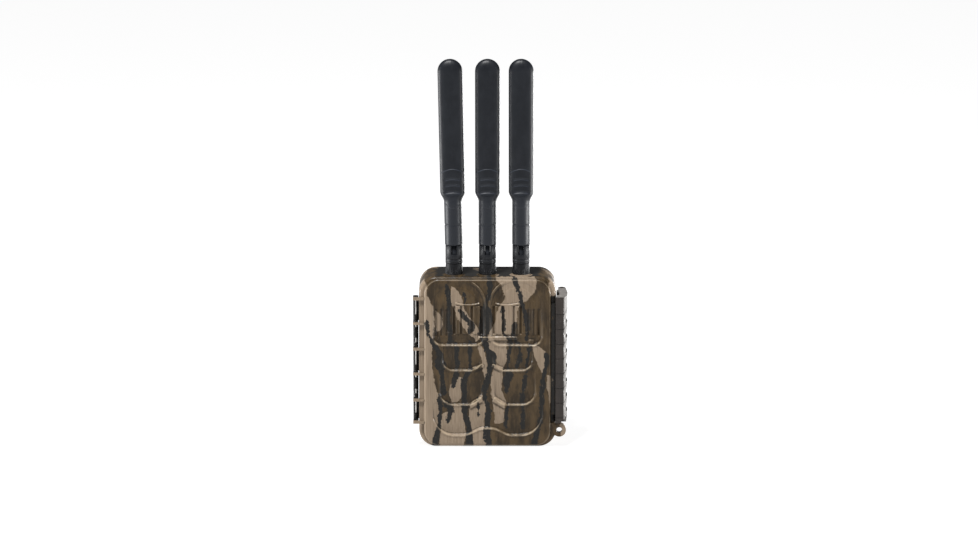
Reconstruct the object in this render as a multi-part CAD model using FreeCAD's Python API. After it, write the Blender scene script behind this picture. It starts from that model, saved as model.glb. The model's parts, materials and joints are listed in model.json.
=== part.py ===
"""Trail camera: a box housing with a hinged rear door, a finger latch, three swivel antennas and its works.

All lengths are in millimetres. +Z is up. The origin is the mouth of the tripod socket in the base's middle.
The lens looks along +Y. The hinged rear door with its moulded relief faces -Y, hinge at -X and latch at +X.
Each function makes one sub-part, and main() writes each to parts/NODE.step.
"""
import FreeCAD
import Part

import math
import os

V = FreeCAD.Vector
X_AXIS, Y_AXIS, Z_AXIS = V(1, 0, 0), V(0, 1, 0), V(0, 0, 1)

# ---- housing -----------------------------------------------------------------------------------------
WIDTH = 107.0            # outside, along X
HEIGHT = 135.0           # outside, along Z
CORNER_R = 13.5          # the four corners seen from the door side
REAR_Y = -26.0           # the rim that the door closes on
FRONT_Y = 26.0           # outside of the lens wall
WALL = 2.6
FRONT_ROUND = 7.0        # rounding of the edge around the lens wall
RIM_ROUND = 2.8          # rounding of the outer edge of the rim
RIM_Y = (REAR_Y, -22.0)  # the frame round the mouth; the shell starts behind it
MOUTH_W, MOUTH_H, MOUTH_R = 92.0, 122.0, 8.0
MID_Z = HEIGHT / 2
GAP = 0.4                # running gap between parts that move past each other

# ---- rear door ---------------------------------------------------------------------------------------
DOOR_W, DOOR_H, DOOR_R = 99.0, 132.4, 12.0
DOOR_PLATE_Y = (-28.8, -26.4)
FACE_W, FACE_H, FACE_R = 94.4, 129.0, 10.0
FACE_Y = -31.4
GASKET_W, GASKET_H, GASKET_BAND = 97.0, 128.5, 2.0
KEEPER_X = (49.0, 52.5)
KEEPER_Y = (-28.0, -26.4)
KEEPER_Z = (26.0, 114.0)

# ---- door hinge --------------------------------------------------------------------------------------
HINGE_X, HINGE_Y = -56.0, -18.0
BARREL_R = 2.1
HINGE_PIN_R = 1.2
HINGE_BOTTOM = 20.9
KNUCKLES = (15.6, 22.5, 18.0, 22.0, 17.7)     # from the bottom up; the 2nd and 4th belong to the door
KNUCKLE_GAP = 0.15
LEAF_Y = (-28.0, -26.4)
RIB_T, RIB_FRONT_Y = 1.6, -30.0
LIP_T = 1.8              # the ribs over and under the whole hinge

# ---- latch -------------------------------------------------------------------------------------------
LATCH_Z = (19.5, 119.5)
LATCH_TOP_RISE = 2.4     # how much higher the top stands at the pivot than at the finger bar
LATCH_PIVOT = (58.2, 0.6)
LATCH_PIN_R = 1.4
LATCH_BARREL_R = 2.9
LATCH_BAR_X = (53.0, 59.4)
LATCH_BAR_Y = (-31.6, -29.2)
LATCH_OUT_X = 62.5
LATCH_EARS = ((40.0, 50.0), (90.0, 100.0))
LINE_Z, LINE_PITCH, LINES = 24.0, 11.7, 8     # the grooves across the bar, from the bottom up

# ---- padlock eye -------------------------------------------------------------------------------------
EYE_X, EYE_Z = 56.1, 13.8
EYE_R, EYE_HOLE_R = 5.2, 2.3
EYE_DOOR_Y = (-29.6, -26.4)
EYE_HOUSING_Y = (-26.0, -22.8)

# ---- antennas ----------------------------------------------------------------------------------------
ANTENNA_PITCH = 26.1
ANTENNA_Y = -17.0
ANTENNAS = {"left": -ANTENNA_PITCH, "middle": 0.0, "right": ANTENNA_PITCH}
LEFT_LEAN = -1.2         # degrees; the left whip stands a little outwards
BOSS_TOP = HEIGHT + 0.8
COLLAR_Z = (136.4, 144.3)
COLLAR_R, KNURL_DEPTH, KNURL_TEETH = 6.9, 0.3, 30
JACK_R = 3.15
BASE_R = 6.7
BASE_BOTTOM = 144.8
SLOT_BOTTOM = 146.7
SLOT_HALF = 2.05
SLOT_FRONT = 5.0         # below the pivot the fork is closed on the door side of the tongue
PIVOT_Z = 151.7
ANTENNA_PIN_R = 1.5
TONGUE_HALF, TONGUE_R = 1.75, 4.7
WHIP_BOTTOM = 159.0
NECK_R = 6.9
SHOULDER_Z = (193.6, 200.4)
PADDLE_TOP = 304.8
PADDLE_R = 9.7           # half its width, and the radius of its round head
PADDLE_THICK = 11.0
RADIATOR_R = 1.2

# ---- works -------------------------------------------------------------------------------------------
FASCIA_Y = (-19.0, -17.0)
FASCIA_Z = (76.0, 120.0)
FASCIA_HALF = 49.8
DISPLAY_X, DISPLAY_Z = -19.0, 99.0
DISPLAY_W, DISPLAY_H = 46.0, 34.0
PAD_X, PAD_Z, PAD_STEP = 20.0, 102.0, 9.4
BUTTON_R, BUTTON_TRAVEL = 3.4, 0.6
SWITCH_X, SWITCH_Z = 39.0, 101.0
CELL_R, CELL_L = 7.1, 49.2
CELL_PITCH = 15.4
CELL_ROWS = (-11.6, 3.6)   # Y of the two layers of cells
CELL_COLUMNS = 6
HOLDER_Z = (12.6, 73.0)
HOLDER_Y = (-19.4, 11.4)
BOARD_Y = (13.8, 15.4)
LENS_Z = 74.0
PIR_Z = 33.0
IR_Z, IR_W, IR_H = 109.0, 74.0, 25.0
BEZEL_Y = (26.0, 29.4)
TRIPOD_R, TRIPOD_DEPTH = 3.175, 8.0
DC_X, DC_Y = 30.0, 8.0


# ---- shape helpers -----------------------------------------------------------------------------------
def box(x, y, z):
    """A box from three (low, high) pairs."""
    return Part.makeBox(x[1] - x[0], y[1] - y[0], z[1] - z[0], V(x[0], y[0], z[0]))


def rod(point, axis, radius, length):
    return Part.makeCylinder(radius, length, V(*point), axis)


def polygon(points):
    return Part.makePolygon([V(*p) for p in points] + [V(*points[0])])


def prism(points, direction):
    return Part.Face(polygon(points)).extrude(direction)


def rounded(width, height, radius, y, centre=(0.0, MID_Z)):
    """Wire of a rounded rectangle across Y."""
    cx, cz = centre
    a, b, r = width / 2, height / 2, radius
    k = r * (1 - math.sqrt(0.5))
    edges = []
    for sx, sz in ((1, 1), (-1, 1), (-1, -1), (1, -1)):
        ends = [V(cx + sx * a, y, cz + sz * (b - r)), V(cx + sx * (a - r), y, cz + sz * b)]
        middle = V(cx + sx * (a - k), y, cz + sz * (b - k))
        if sx * sz < 0:
            ends.reverse()
        if edges:
            edges.append(Part.makeLine(edges[-1].Curve.value(edges[-1].LastParameter), ends[0]))
        edges.append(Part.Arc(ends[0], middle, ends[1]).toShape())
    first, last = edges[0], edges[-1]
    start, end = last.Curve.value(last.LastParameter), first.Curve.value(first.FirstParameter)
    edges.append(Part.makeLine(start, end))
    return Part.Wire(edges)


def slab(width, height, radius, y, centre=(0.0, MID_Z)):
    """A rounded rectangle across Y, from y[0] to y[1]."""
    return Part.Face(rounded(width, height, radius, y[0], centre)).extrude(V(0, y[1] - y[0], 0))


def edges_at(shape, test):
    return [e for e in shape.Edges if all(test(v.Point) for v in e.Vertexes)]


def fillet_plane(shape, y, radius):
    """Rounds every edge that lies in the plane at that y."""
    return shape.makeFillet(radius, edges_at(shape, lambda p: abs(p.y - y) < 1e-6))


def union(*shapes):
    return shapes[0].fuse(list(shapes[1:])).removeSplitter()


def tube_along(points, radius, bend):
    """A round tube along straight runs joined by tangent arcs."""
    pts = [V(*p) for p in points]
    edges, at = [], pts[0]
    for a, b, c in zip(pts, pts[1:], pts[2:]):
        u, w = (a - b).normalize(), (c - b).normalize()
        half = u.getAngle(w) / 2
        cut = bend / math.tan(half)
        start, end = b + u * cut, b + w * cut
        middle = b + (u + w).normalize() * (bend / math.sin(half) - bend)
        edges += [Part.makeLine(at, start), Part.Arc(start, middle, end).toShape()]
        at = end
    edges.append(Part.makeLine(at, pts[-1]))
    ring = Part.Wire(Part.makeCircle(radius, pts[0], pts[1] - pts[0]))
    return Part.Wire(edges).makePipeShell([ring], True, True)


def each_antenna(make):
    """One solid per antenna, as a compound."""
    return Part.makeCompound([make(x) for x in ANTENNAS.values()])


# ---- housing -----------------------------------------------------------------------------------------
def knuckle_spans():
    spans, z = [], HINGE_BOTTOM
    for length in KNUCKLES:
        spans.append((z, z + length))
        z += length
    return spans


def notched_barrel(span, notches):
    """A hinge knuckle, open in front over each notch (from its bottom, length) so that the pin shows."""
    low, high = span[0] + KNUCKLE_GAP, span[1] - KNUCKLE_GAP
    barrel = rod((HINGE_X, HINGE_Y, low), Z_AXIS, BARREL_R, high - low)
    half = HINGE_PIN_R + 0.15
    across = (HINGE_X - half, HINGE_X + half)
    return barrel.cut([box(across, (HINGE_Y - 3, HINGE_Y), (span[0] + z, span[0] + z + long))
                       for z, long in notches])


def front_housing():
    body = slab(WIDTH, HEIGHT, CORNER_R, (RIM_Y[1], FRONT_Y))
    body = fillet_plane(body, FRONT_Y, FRONT_ROUND)
    room = slab(WIDTH - 2 * WALL, HEIGHT - 2 * WALL, CORNER_R - WALL, (RIM_Y[1] - 1, FRONT_Y - WALL))
    room = fillet_plane(room, FRONT_Y - WALL, FRONT_ROUND - WALL)
    body = body.cut(room)
    added = []
    for low, high in knuckle_spans()[::2]:
        added.append(notched_barrel((low, high), [(4.8, high - low - 6.4)]))
        added.append(box((HINGE_X + HINGE_PIN_R + 0.3, 1 - WIDTH / 2), (HINGE_Y - 0.5, HINGE_Y + BARREL_R),
                         (low + KNUCKLE_GAP, high - KNUCKLE_GAP)))
    px, py = LATCH_PIVOT
    for low, high in LATCH_EARS:
        added.append(rod((px, py, low), Z_AXIS, LATCH_BARREL_R, high - low))
        added.append(box((WIDTH / 2 - 1, px), (py - LATCH_BARREL_R, py + LATCH_BARREL_R), (low, high)))
    added += [antenna_boss(x) for x in ANTENNAS.values()]
    added.append(rod((0, 0, WALL - 0.5), Z_AXIS, 7.2, TRIPOD_DEPTH + 1.9))
    for sx in (-1, 1):
        for z in (80.0, 116.0):
            added.append(box(sorted((sx * 45.5, sx * 51.5)), (FASCIA_Y[1], -8.0), (z - 3, z + 3)))
        for z in (14.0, 121.0):
            added.append(rod((sx * 42.0, BOARD_Y[1], z), Y_AXIS, 3.0, FRONT_Y - WALL - BOARD_Y[1] + 0.5))
    body = union(body, *added)
    cuts = [rod((HINGE_X, HINGE_Y, 0), Z_AXIS, HINGE_PIN_R, HEIGHT)]
    cuts.append(rod((px, py, 30), Z_AXIS, LATCH_PIN_R, 80))
    cuts += [rod((x, ANTENNA_Y, HEIGHT - 8), Z_AXIS, JACK_R + 0.1, 12) for x in ANTENNAS.values()]
    cuts.append(rod((0, 0, -1), Z_AXIS, 4.8, 10.2))
    cuts.append(rod((0, FRONT_Y - 8, LENS_Z), Y_AXIS, 9.0, 12))
    cuts.append(rod((0, FRONT_Y - 8, PIR_Z), Y_AXIS, 11.0, 12))
    cuts.append(slab(IR_W - 4, IR_H - 4, 4.0, (FRONT_Y - 8, FRONT_Y + 4), (0, IR_Z)))
    cuts += [rod((sx * 24.0, FRONT_Y - 8, LENS_Z), Y_AXIS, 2.0, 12) for sx in (-1, 1)]
    cuts.append(box((DC_X - 8, DC_X + 8), (DC_Y - 5, DC_Y + 5), (-1, 1.5)))
    cuts.append(rod((DC_X, DC_Y, -1), Z_AXIS, 4.2, 6))
    for sx in (-1, 1):
        cuts += [rod((sx * 47.6, FASCIA_Y[1] - 1, z), Y_AXIS, 1.2, 8) for z in (80.0, 116.0)]
        cuts += [rod((sx * 42.0, BOARD_Y[0], z), Y_AXIS, 1.2, 7) for z in (14.0, 121.0)]
    return body.cut(cuts)


def antenna_boss(x):
    return Part.makeCone(8.2, 7.3, BOSS_TOP - HEIGHT + 1.0, V(x, ANTENNA_Y, HEIGHT - 1.0))


def housing_rim():
    """The frame round the mouth, with the housing's half of the padlock eye."""
    frame = fillet_plane(slab(WIDTH, HEIGHT, CORNER_R, RIM_Y), REAR_Y, RIM_ROUND)
    frame = union(frame, eye_ring(EYE_HOUSING_Y, WIDTH / 2 - 3, EYE_HOUSING_Y))
    mouth = slab(MOUTH_W, MOUTH_H, MOUTH_R, (RIM_Y[0] - 1, RIM_Y[1] + 1))
    return frame.cut([mouth] + [antenna_boss(x) for x in ANTENNAS.values()])


def eye_ring(y, web_x, web_y):
    """A padlock ear: a ring with a web that runs to web_x, and the hole through it."""
    ring = rod((EYE_X, y[0], EYE_Z), Y_AXIS, EYE_R, y[1] - y[0])
    web = box((web_x, EYE_X), web_y, (EYE_Z - 4.4, EYE_Z + EYE_R))
    return union(ring, web).cut(rod((EYE_X, y[0] - 1, EYE_Z), Y_AXIS, EYE_HOLE_R, y[1] - y[0] + 2))


def pivot_pins():
    """The long pin of the door hinge and the pin of the latch."""
    spans = knuckle_spans()
    low, high = spans[0][0] + 0.2, spans[-1][1] - 0.2
    door_pin = rod((HINGE_X, HINGE_Y, low), Z_AXIS, HINGE_PIN_R, high - low)
    return Part.makeCompound([door_pin, rod((LATCH_PIVOT[0], LATCH_PIVOT[1], 31), Z_AXIS, LATCH_PIN_R, 78)])


def tripod_insert():
    return rod((0, 0, 0), Z_AXIS, 4.8, 9.2).cut(rod((0, 0, -1), Z_AXIS, TRIPOD_R, TRIPOD_DEPTH + 1))


# ---- rear door ---------------------------------------------------------------------------------------
def rear_door():
    plate = slab(DOOR_W, DOOR_H, DOOR_R, DOOR_PLATE_Y)
    eye = eye_ring(EYE_DOOR_Y, DOOR_W / 2 - 3, DOOR_PLATE_Y)
    door = union(plate, box(KEEPER_X, KEEPER_Y, KEEPER_Z), eye)
    return door.cut(gasket_ring(DOOR_PLATE_Y[1] - 0.8, DOOR_PLATE_Y[1] + 1))


def door_hinge_leaf():
    """Strip along the door's edge, with ribs out to its two knuckles and a lip over and under the hinge."""
    spans = knuckle_spans()
    low, high = spans[0][0] - LIP_T - 0.2, spans[-1][1] + LIP_T + 0.2
    edge = -DOOR_W / 2
    parts = [box((GAP - WIDTH / 2, edge), LEAF_Y, (low, high))]
    levels = [(low, low + LIP_T), (high - LIP_T, high)]
    for span in spans[1::2]:
        levels += [(span[0] + KNUCKLE_GAP, span[0] + RIB_T), (span[1] - RIB_T, span[1] - KNUCKLE_GAP)]
        parts.append(notched_barrel(span, [(4.6, 3.8), (span[1] - span[0] - 5.2, 3.6)]))
    for z in levels:
        parts.append(rod((HINGE_X, HINGE_Y, z[0]), Z_AXIS, BARREL_R, z[1] - z[0]))
        parts.append(box((HINGE_X - BARREL_R, HINGE_X + BARREL_R), (RIB_FRONT_Y, HINGE_Y), z))
        parts.append(box((HINGE_X, edge), (RIB_FRONT_Y, LEAF_Y[1]), z))
    low, high = spans[0][0] - 0.1, spans[-1][1] + 0.1
    return union(*parts).cut(rod((HINGE_X, HINGE_Y, low), Z_AXIS, HINGE_PIN_R + 0.05, high - low))


def gasket_ring(y0, y1):
    outer = slab(GASKET_W, GASKET_H, 10.5, (y0, y1))
    return outer.cut(slab(GASKET_W - 2 * GASKET_BAND, GASKET_H - 2 * GASKET_BAND, 8.5, (y0 - 1, y1 + 1)))


def door_gasket():
    return gasket_ring(DOOR_PLATE_Y[1] - 0.8, REAR_Y - 0.02)


def lobe(side, x, z, radius_bottom, arch=False):
    """One relief lobe as a block: straight sides, a U bottom and, if arch, a round head."""
    x0, x1 = x
    z0, z1 = z
    r, y = radius_bottom, FACE_Y - 4
    q = r * (1 - math.sqrt(0.5))
    corners = ((x0, z1), (x0, z0 + r), (x0 + r, z0), (x1 - r, z0), (x1, z0 + r), (x1, z1))
    p = [V(side * a, y, b) for a, b in corners]
    mid_left, mid_right = V(side * (x0 + q), y, z0 + q), V(side * (x1 - q), y, z0 + q)
    edges = [Part.makeLine(p[0], p[1]), Part.Arc(p[1], mid_left, p[2]).toShape(), Part.makeLine(p[2], p[3]),
             Part.Arc(p[3], mid_right, p[4]).toShape(), Part.makeLine(p[4], p[5])]
    if arch:
        edges.append(Part.Arc(p[5], V(side * (x0 + x1) / 2, y, z1 + (x1 - x0) / 2), p[0]).toShape())
    else:
        edges.append(Part.makeLine(p[5], p[0]))
    return Part.Face(Part.Wire(edges)).extrude(V(0, 8, 0))


LOBES = (  # x span, z span, bottom radius, depth of the scoop at its bottom
    ((5.2, 42.0), (83.0, 112.6), 11.0, 1.5),
    ((11.6, 36.4), (62.6, 82.0), 9.5, 1.4),
    ((10.8, 38.4), (36.2, 61.6), 12.0, 1.5),
    ((7.4, 41.0), (12.4, 35.2), 14.0, 1.5),
)


def door_face_panel():
    base = rounded(DOOR_W, DOOR_H, DOOR_R, DOOR_PLATE_Y[0])
    step = rounded(DOOR_W - 1.2, DOOR_H - 1.0, DOOR_R - 0.5, DOOR_PLATE_Y[0] - 1.0)
    face = rounded(FACE_W, FACE_H, FACE_R, FACE_Y)
    panel = Part.makeLoft([base, step, face], True, True)
    for side in (-1, 1):
        for number, (x, z, radius, depth) in enumerate(LOBES):
            top = z[1] + ((x[1] - x[0]) / 2 if number == 0 else 0)
            front, deep, foot = FACE_Y - 5, FACE_Y + depth, z[0] - 1
            wedge = prism([(-60, front, top), (-60, front, foot), (-60, deep, foot), (-60, deep, z[0]),
                           (-60, FACE_Y, top)], V(120, 0, 0))
            panel = panel.cut(lobe(side, x, z, radius, arch=number == 0).common(wedge))
    return panel


# ---- latch -------------------------------------------------------------------------------------------
def latch_lever():
    px, py = LATCH_PIVOT
    bx, by = LATCH_BAR_X, LATCH_BAR_Y
    inner_x = WIDTH / 2 + 0.5
    outline = [
        (bx[0], by[0]), (bx[1], by[0]), (60.6, -29.6), (62.0, -24.0), (LATCH_OUT_X, -15.0), (61.6, -4.0),
        (px + LATCH_BARREL_R, py), (px, py), (px - LATCH_BARREL_R, py), (inner_x + 1.6, -4.5),
        (inner_x, -8.0), (inner_x, by[1]), (bx[0], by[1]),
    ]
    low, high = LATCH_Z
    top = high + LATCH_TOP_RISE
    lever = prism([(x, y, low) for x, y in outline], V(0, 0, top - low))
    lever = union(lever, rod((px, py, low), Z_AXIS, LATCH_BARREL_R, top - low))
    cuts = [
        prism([(50, by[0] - 1, high), (50, 5, top), (50, 5, top + 4), (50, by[0] - 1, top + 4)], V(20, 0, 0)),
        rod((px, py, low - 1), Z_AXIS, LATCH_PIN_R + 0.05, top - low + 2),
        prism([(55.4, -40, low - 1), (64, -40, low - 1), (64, -40, low + 8.0)], V(0, 16, 0)),
        box((inner_x - 1, inner_x + 2.0), (-24, -9), (high - 5, top + 1)),
    ]
    for z0, z1 in LATCH_EARS:
        cuts.append(box((inner_x - 2, 64), (py - LATCH_BARREL_R - 1.0, 8), (z0 - GAP, z1 + GAP)))
    for n in range(LINES):
        z = LINE_Z + n * LINE_PITCH
        cuts.append(box((bx[0] - 1, bx[1] + 0.1), (by[0] - 1, by[0] + 0.5), (z - 0.3, z + 0.3)))
        slant = [(bx[1], -40, z - 0.3), (64, -40, z + 5.3), (64, -40, z + 5.9), (bx[1], -40, z + 0.3)]
        tooth = [(61.0, -40, z - 7.4), (64, -40, z - 7.4), (64, -40, z + 3.9), (LATCH_OUT_X, -40, z + 3.9)]
        cuts += [prism(slant, V(0, 50, 0)), prism(tooth, V(0, 60, 0))]
        if n % 2:
            cuts.append(box((inner_x - 1, 58.6), (-25.5, -9.0), (z - LINE_PITCH + 3, z + LINE_PITCH - 3)))
    return lever.cut(cuts)


# ---- antennas ----------------------------------------------------------------------------------------
def antenna_jacks():
    def jack(x):
        barrel = rod((x, ANTENNA_Y, 124), Z_AXIS, JACK_R, 18.4)
        flange = rod((x, ANTENNA_Y, BOSS_TOP), Z_AXIS, 3.9, 0.6)
        return union(barrel, flange).cut(rod((x, ANTENNA_Y, 139), Z_AXIS, 1.6, 4))
    return each_antenna(jack)


def hexagon(x, y, z, flats, height):
    r = flats / math.sqrt(3)
    corners = [(x + r * math.cos(k * math.pi / 3), y + r * math.sin(k * math.pi / 3), z) for k in range(6)]
    return prism(corners, V(0, 0, height))


def jack_nut(x):
    z = HEIGHT - WALL - 2.4
    return hexagon(x, ANTENNA_Y, z, 8.0, 2.4).cut(rod((x, ANTENNA_Y, z - 1), Z_AXIS, JACK_R + 0.02, 5))


def antenna_seals():
    def seal(x):
        ring = rod((x, ANTENNA_Y, BOSS_TOP), Z_AXIS, 6.2, COLLAR_Z[0] - BOSS_TOP)
        return ring.cut(rod((x, ANTENNA_Y, BOSS_TOP - 1), Z_AXIS, 4.0, 4))
    return each_antenna(seal)


def antenna_collars():
    def collar(x):
        points = []
        for k in range(2 * KNURL_TEETH):
            r = COLLAR_R - (KNURL_DEPTH if k % 2 else 0)
            a = math.pi * k / KNURL_TEETH
            points.append((x + r * math.cos(a), ANTENNA_Y + r * math.sin(a), COLLAR_Z[0]))
        nut = prism(points, V(0, 0, COLLAR_Z[1] - COLLAR_Z[0]))
        nut = nut.common(Part.makeCone(COLLAR_R + 0.1, COLLAR_R - 0.5, COLLAR_Z[1] - COLLAR_Z[0],
                                       V(x, ANTENNA_Y, COLLAR_Z[0])))
        nut = nut.cut(rod((x, ANTENNA_Y, COLLAR_Z[0] - 1), Z_AXIS, JACK_R + 0.1, 7.4))
        return nut.cut(rod((x, ANTENNA_Y, 142.8), Z_AXIS, 4.2, 4))
    return each_antenna(collar)


def antenna_base(x):
    """Swivel barrel with a fork for the whip's tongue. Its ears are square towards the door and round on the
    lens side, which is the way that the whip folds."""
    ears_top = PIVOT_Z + BASE_R
    barrel = rod((x, ANTENNA_Y, BASE_BOTTOM), Z_AXIS, BASE_R, ears_top - BASE_BOTTOM)
    side_view = union(box((x - 8, x + 8), (ANTENNA_Y - BASE_R, ANTENNA_Y + BASE_R), (BASE_BOTTOM, PIVOT_Z)),
                      box((x - 8, x + 8), (ANTENNA_Y - BASE_R, ANTENNA_Y), (BASE_BOTTOM, ears_top)),
                      rod((x - 8, ANTENNA_Y, PIVOT_Z), X_AXIS, BASE_R, 16))
    barrel = barrel.common(side_view)
    ferrule = rod((x, ANTENNA_Y, 143.0), Z_AXIS, 3.9, 3)
    slot_x = (x - SLOT_HALF, x + SLOT_HALF)
    cuts = [box(slot_x, (ANTENNA_Y - SLOT_FRONT, ANTENNA_Y + 9), (SLOT_BOTTOM, WHIP_BOTTOM)),
            box(slot_x, (ANTENNA_Y - 9, ANTENNA_Y), (PIVOT_Z, WHIP_BOTTOM)),
            rod((x - 6.3, ANTENNA_Y, PIVOT_Z), X_AXIS, ANTENNA_PIN_R, 12.6)]
    for z in (145.4, 147.8):
        ring = rod((x, ANTENNA_Y, z), Z_AXIS, BASE_R + 1, 0.5)
        cuts.append(ring.cut(rod((x, ANTENNA_Y, z - 1), Z_AXIS, BASE_R - 0.3, 3)))
    return union(barrel, ferrule).cut(cuts)


def antenna_hinge_pin(x):
    return rod((x - 6.2, ANTENNA_Y, PIVOT_Z), X_AXIS, ANTENNA_PIN_R, 12.4)


def whip_outline(x, y):
    """The paddle's flat shape across Y: neck, smooth shoulders, straight sides and a round head."""
    low, high, head = SHOULDER_Z[0] - 6, SHOULDER_Z[1], PADDLE_TOP - PADDLE_R
    edges = []
    for side in (-1, 1):
        foot, waist = V(x + side * NECK_R, y, low), V(x + side * NECK_R, y, SHOULDER_Z[0])
        hip, ear = V(x + side * PADDLE_R, y, high), V(x + side * PADDLE_R, y, head)
        curve = Part.BSplineCurve()
        curve.interpolate(Points=[waist, hip], InitialTangent=Z_AXIS * 5, FinalTangent=Z_AXIS * 5)
        edges += [Part.makeLine(foot, waist), curve.toShape(), Part.makeLine(hip, ear)]
    edges.append(Part.Arc(V(x - PADDLE_R, y, head), V(x, y, PADDLE_TOP), V(x + PADDLE_R, y, head)).toShape())
    edges.append(Part.makeLine(V(x - NECK_R, y, low), V(x + NECK_R, y, low)))
    return Part.Wire(Part.__sortEdges__(edges))


def antenna_whip(x):
    """Paddle, round neck and the tongue that turns in the fork; hollow for its radiator."""
    half = PADDLE_THICK / 2
    paddle = Part.Face(whip_outline(x, ANTENNA_Y - half)).extrude(V(0, PADDLE_THICK, 0))
    rim = [e for e in paddle.Edges if e.CenterOfMass.z > SHOULDER_Z[0] - 4
           and all(abs(abs(v.Point.y - ANTENNA_Y) - half) < 1e-6 for v in e.Vertexes)
           and abs(e.Vertexes[0].Point.y - e.Vertexes[-1].Point.y) < 1e-6]
    paddle = paddle.makeFillet(3.4, rim)
    neck = rod((x, ANTENNA_Y, WHIP_BOTTOM), Z_AXIS, NECK_R, SHOULDER_Z[0] - WHIP_BOTTOM)
    blend = Part.makeCone(NECK_R, half - 0.6, 8.0, V(x, ANTENNA_Y, SHOULDER_Z[0]))
    body = union(neck, paddle, blend)
    tongue = union(rod((x - TONGUE_HALF, ANTENNA_Y, PIVOT_Z), X_AXIS, TONGUE_R, 2 * TONGUE_HALF),
                   box((x - TONGUE_HALF, x + TONGUE_HALF), (ANTENNA_Y - TONGUE_R, ANTENNA_Y + TONGUE_R),
                       (PIVOT_Z, WHIP_BOTTOM + 1)))
    body = union(body, tongue)
    body = body.cut(radiator_core(x))
    if x == ANTENNAS["left"]:
        body.rotate(V(x, ANTENNA_Y, PIVOT_Z), Y_AXIS, LEFT_LEAN)
    return body.cut(rod((x - 9, ANTENNA_Y, PIVOT_Z), X_AXIS, ANTENNA_PIN_R + 0.05, 18))


def radiator_core(x):
    return union(rod((x, ANTENNA_Y, 182), Z_AXIS, RADIATOR_R, 60),
                 box((x - 4, x + 4), (ANTENNA_Y - 0.4, ANTENNA_Y + 0.4), (241, 291)))


def antenna_radiator(x):
    core = radiator_core(x)
    if x == ANTENNAS["left"]:
        core.rotate(V(x, ANTENNA_Y, PIVOT_Z), Y_AXIS, LEFT_LEAN)
    return core


# ---- optics and sensors on the lens wall -------------------------------------------------------------
def front_bezel():
    plate = fillet_plane(slab(86, 116, 9.0, BEZEL_Y), BEZEL_Y[1], 1.6)
    cuts = [slab(IR_W, IR_H, 5.0, (BEZEL_Y[1] - 2.2, BEZEL_Y[1] + 1), (0, IR_Z)),
            slab(IR_W - 4, IR_H - 4, 4.0, (BEZEL_Y[0] - 1, BEZEL_Y[1]), (0, IR_Z)),
            rod((0, BEZEL_Y[0] - 1, LENS_Z), Y_AXIS, 9.0, 6),
            rod((0, BEZEL_Y[1] - 1.6, LENS_Z), Y_AXIS, 11.5, 3),
            rod((0, BEZEL_Y[0] - 1, PIR_Z), Y_AXIS, 11.0, 6),
            rod((0, BEZEL_Y[1] - 1.6, PIR_Z), Y_AXIS, 13.5, 3)]
    cuts += [rod((sx * 24.0, BEZEL_Y[0] - 1, LENS_Z), Y_AXIS, 2.0, 6) for sx in (-1, 1)]
    return plate.cut(cuts)


def ir_window():
    return slab(IR_W - 0.2, IR_H - 0.2, 4.9, (BEZEL_Y[1] - 2.2, BEZEL_Y[1] - 0.4), (0, IR_Z))


def ir_led_board():
    return slab(IR_W - 6, IR_H - 6, 3.0, (20.4, 21.8), (0, IR_Z))


def ir_leds():
    """Four rows of nine domed lamps on the board."""
    lamps = []
    for row in range(4):
        for column in range(9):
            x, z = (column - 4) * 7.2, IR_Z + (row - 1.5) * 4.6
            lamps.append(union(rod((x, 21.8, z), Y_AXIS, 1.5, 2.4), Part.makeSphere(1.5, V(x, 24.2, z))))
    return Part.makeCompound(lamps)


def lens_window():
    return rod((0, BEZEL_Y[1] - 1.6, LENS_Z), Y_AXIS, 11.4, 1.4)


def lens_holder():
    base = box((-9, 9), (BOARD_Y[1], 20.4), (LENS_Z - 9, LENS_Z + 9))
    tube = rod((0, 20, LENS_Z), Y_AXIS, 8.0, 3.2)
    cuts = [rod((0, BOARD_Y[1] - 1, LENS_Z), Y_AXIS, 6.05, 9),
            box((-9.5, 9.5), (17.6, 19.2), (LENS_Z - 6.3, LENS_Z + 6.3))]
    return union(base, tube).cut(cuts)


def lens_barrel():
    body = union(rod((0, 19.4, LENS_Z), Y_AXIS, 6.0, 4.2), rod((0, 23.4, LENS_Z), Y_AXIS, 7.6, 3.6))
    flare = Part.makeCone(4.2, 6.6, 2.0, V(0, 25.1, LENS_Z), Y_AXIS)
    return body.cut([rod((0, 19, LENS_Z), Y_AXIS, 4.2, 9), flare])


def lens_glass():
    """A front meniscus and a rear element."""
    dome = Part.makeSphere(7.0, V(0, 18.6, LENS_Z)).common(rod((0, 22.4, LENS_Z), Y_AXIS, 4.15, 6))
    rear = rod((0, 19.6, LENS_Z), Y_AXIS, 4.15, 1.6)
    return Part.makeCompound([dome, rear])


def ir_cut_filter():
    """The sliding frame with its two filters, one beside the other."""
    return slab(11.4, 12.0, 1.0, (17.8, 19.0), (0, LENS_Z))


def image_sensor():
    return box((-4.5, 4.5), (BOARD_Y[1], 16.8), (LENS_Z - 4, LENS_Z + 4))


def pir_lens():
    """Domed Fresnel lens with its rim."""
    rim = rod((0, BEZEL_Y[1] - 1.6, PIR_Z), Y_AXIS, 13.4, 1.2)
    ball_r, sink = 14.5, 8.0
    centre = BEZEL_Y[1] - 0.4 - sink
    dome = Part.makeSphere(ball_r, V(0, centre, PIR_Z)).common(
        rod((0, BEZEL_Y[1] - 0.5, PIR_Z), Y_AXIS, 13.4, 20))
    hollow = Part.makeSphere(ball_r - 1.0, V(0, centre, PIR_Z))
    return union(rim, dome).cut(hollow)


def pir_sensor():
    return union(rod((0, BOARD_Y[1], PIR_Z), Y_AXIS, 4.6, 0.8), rod((0, BOARD_Y[1], PIR_Z), Y_AXIS, 4.1, 4.2))


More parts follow.
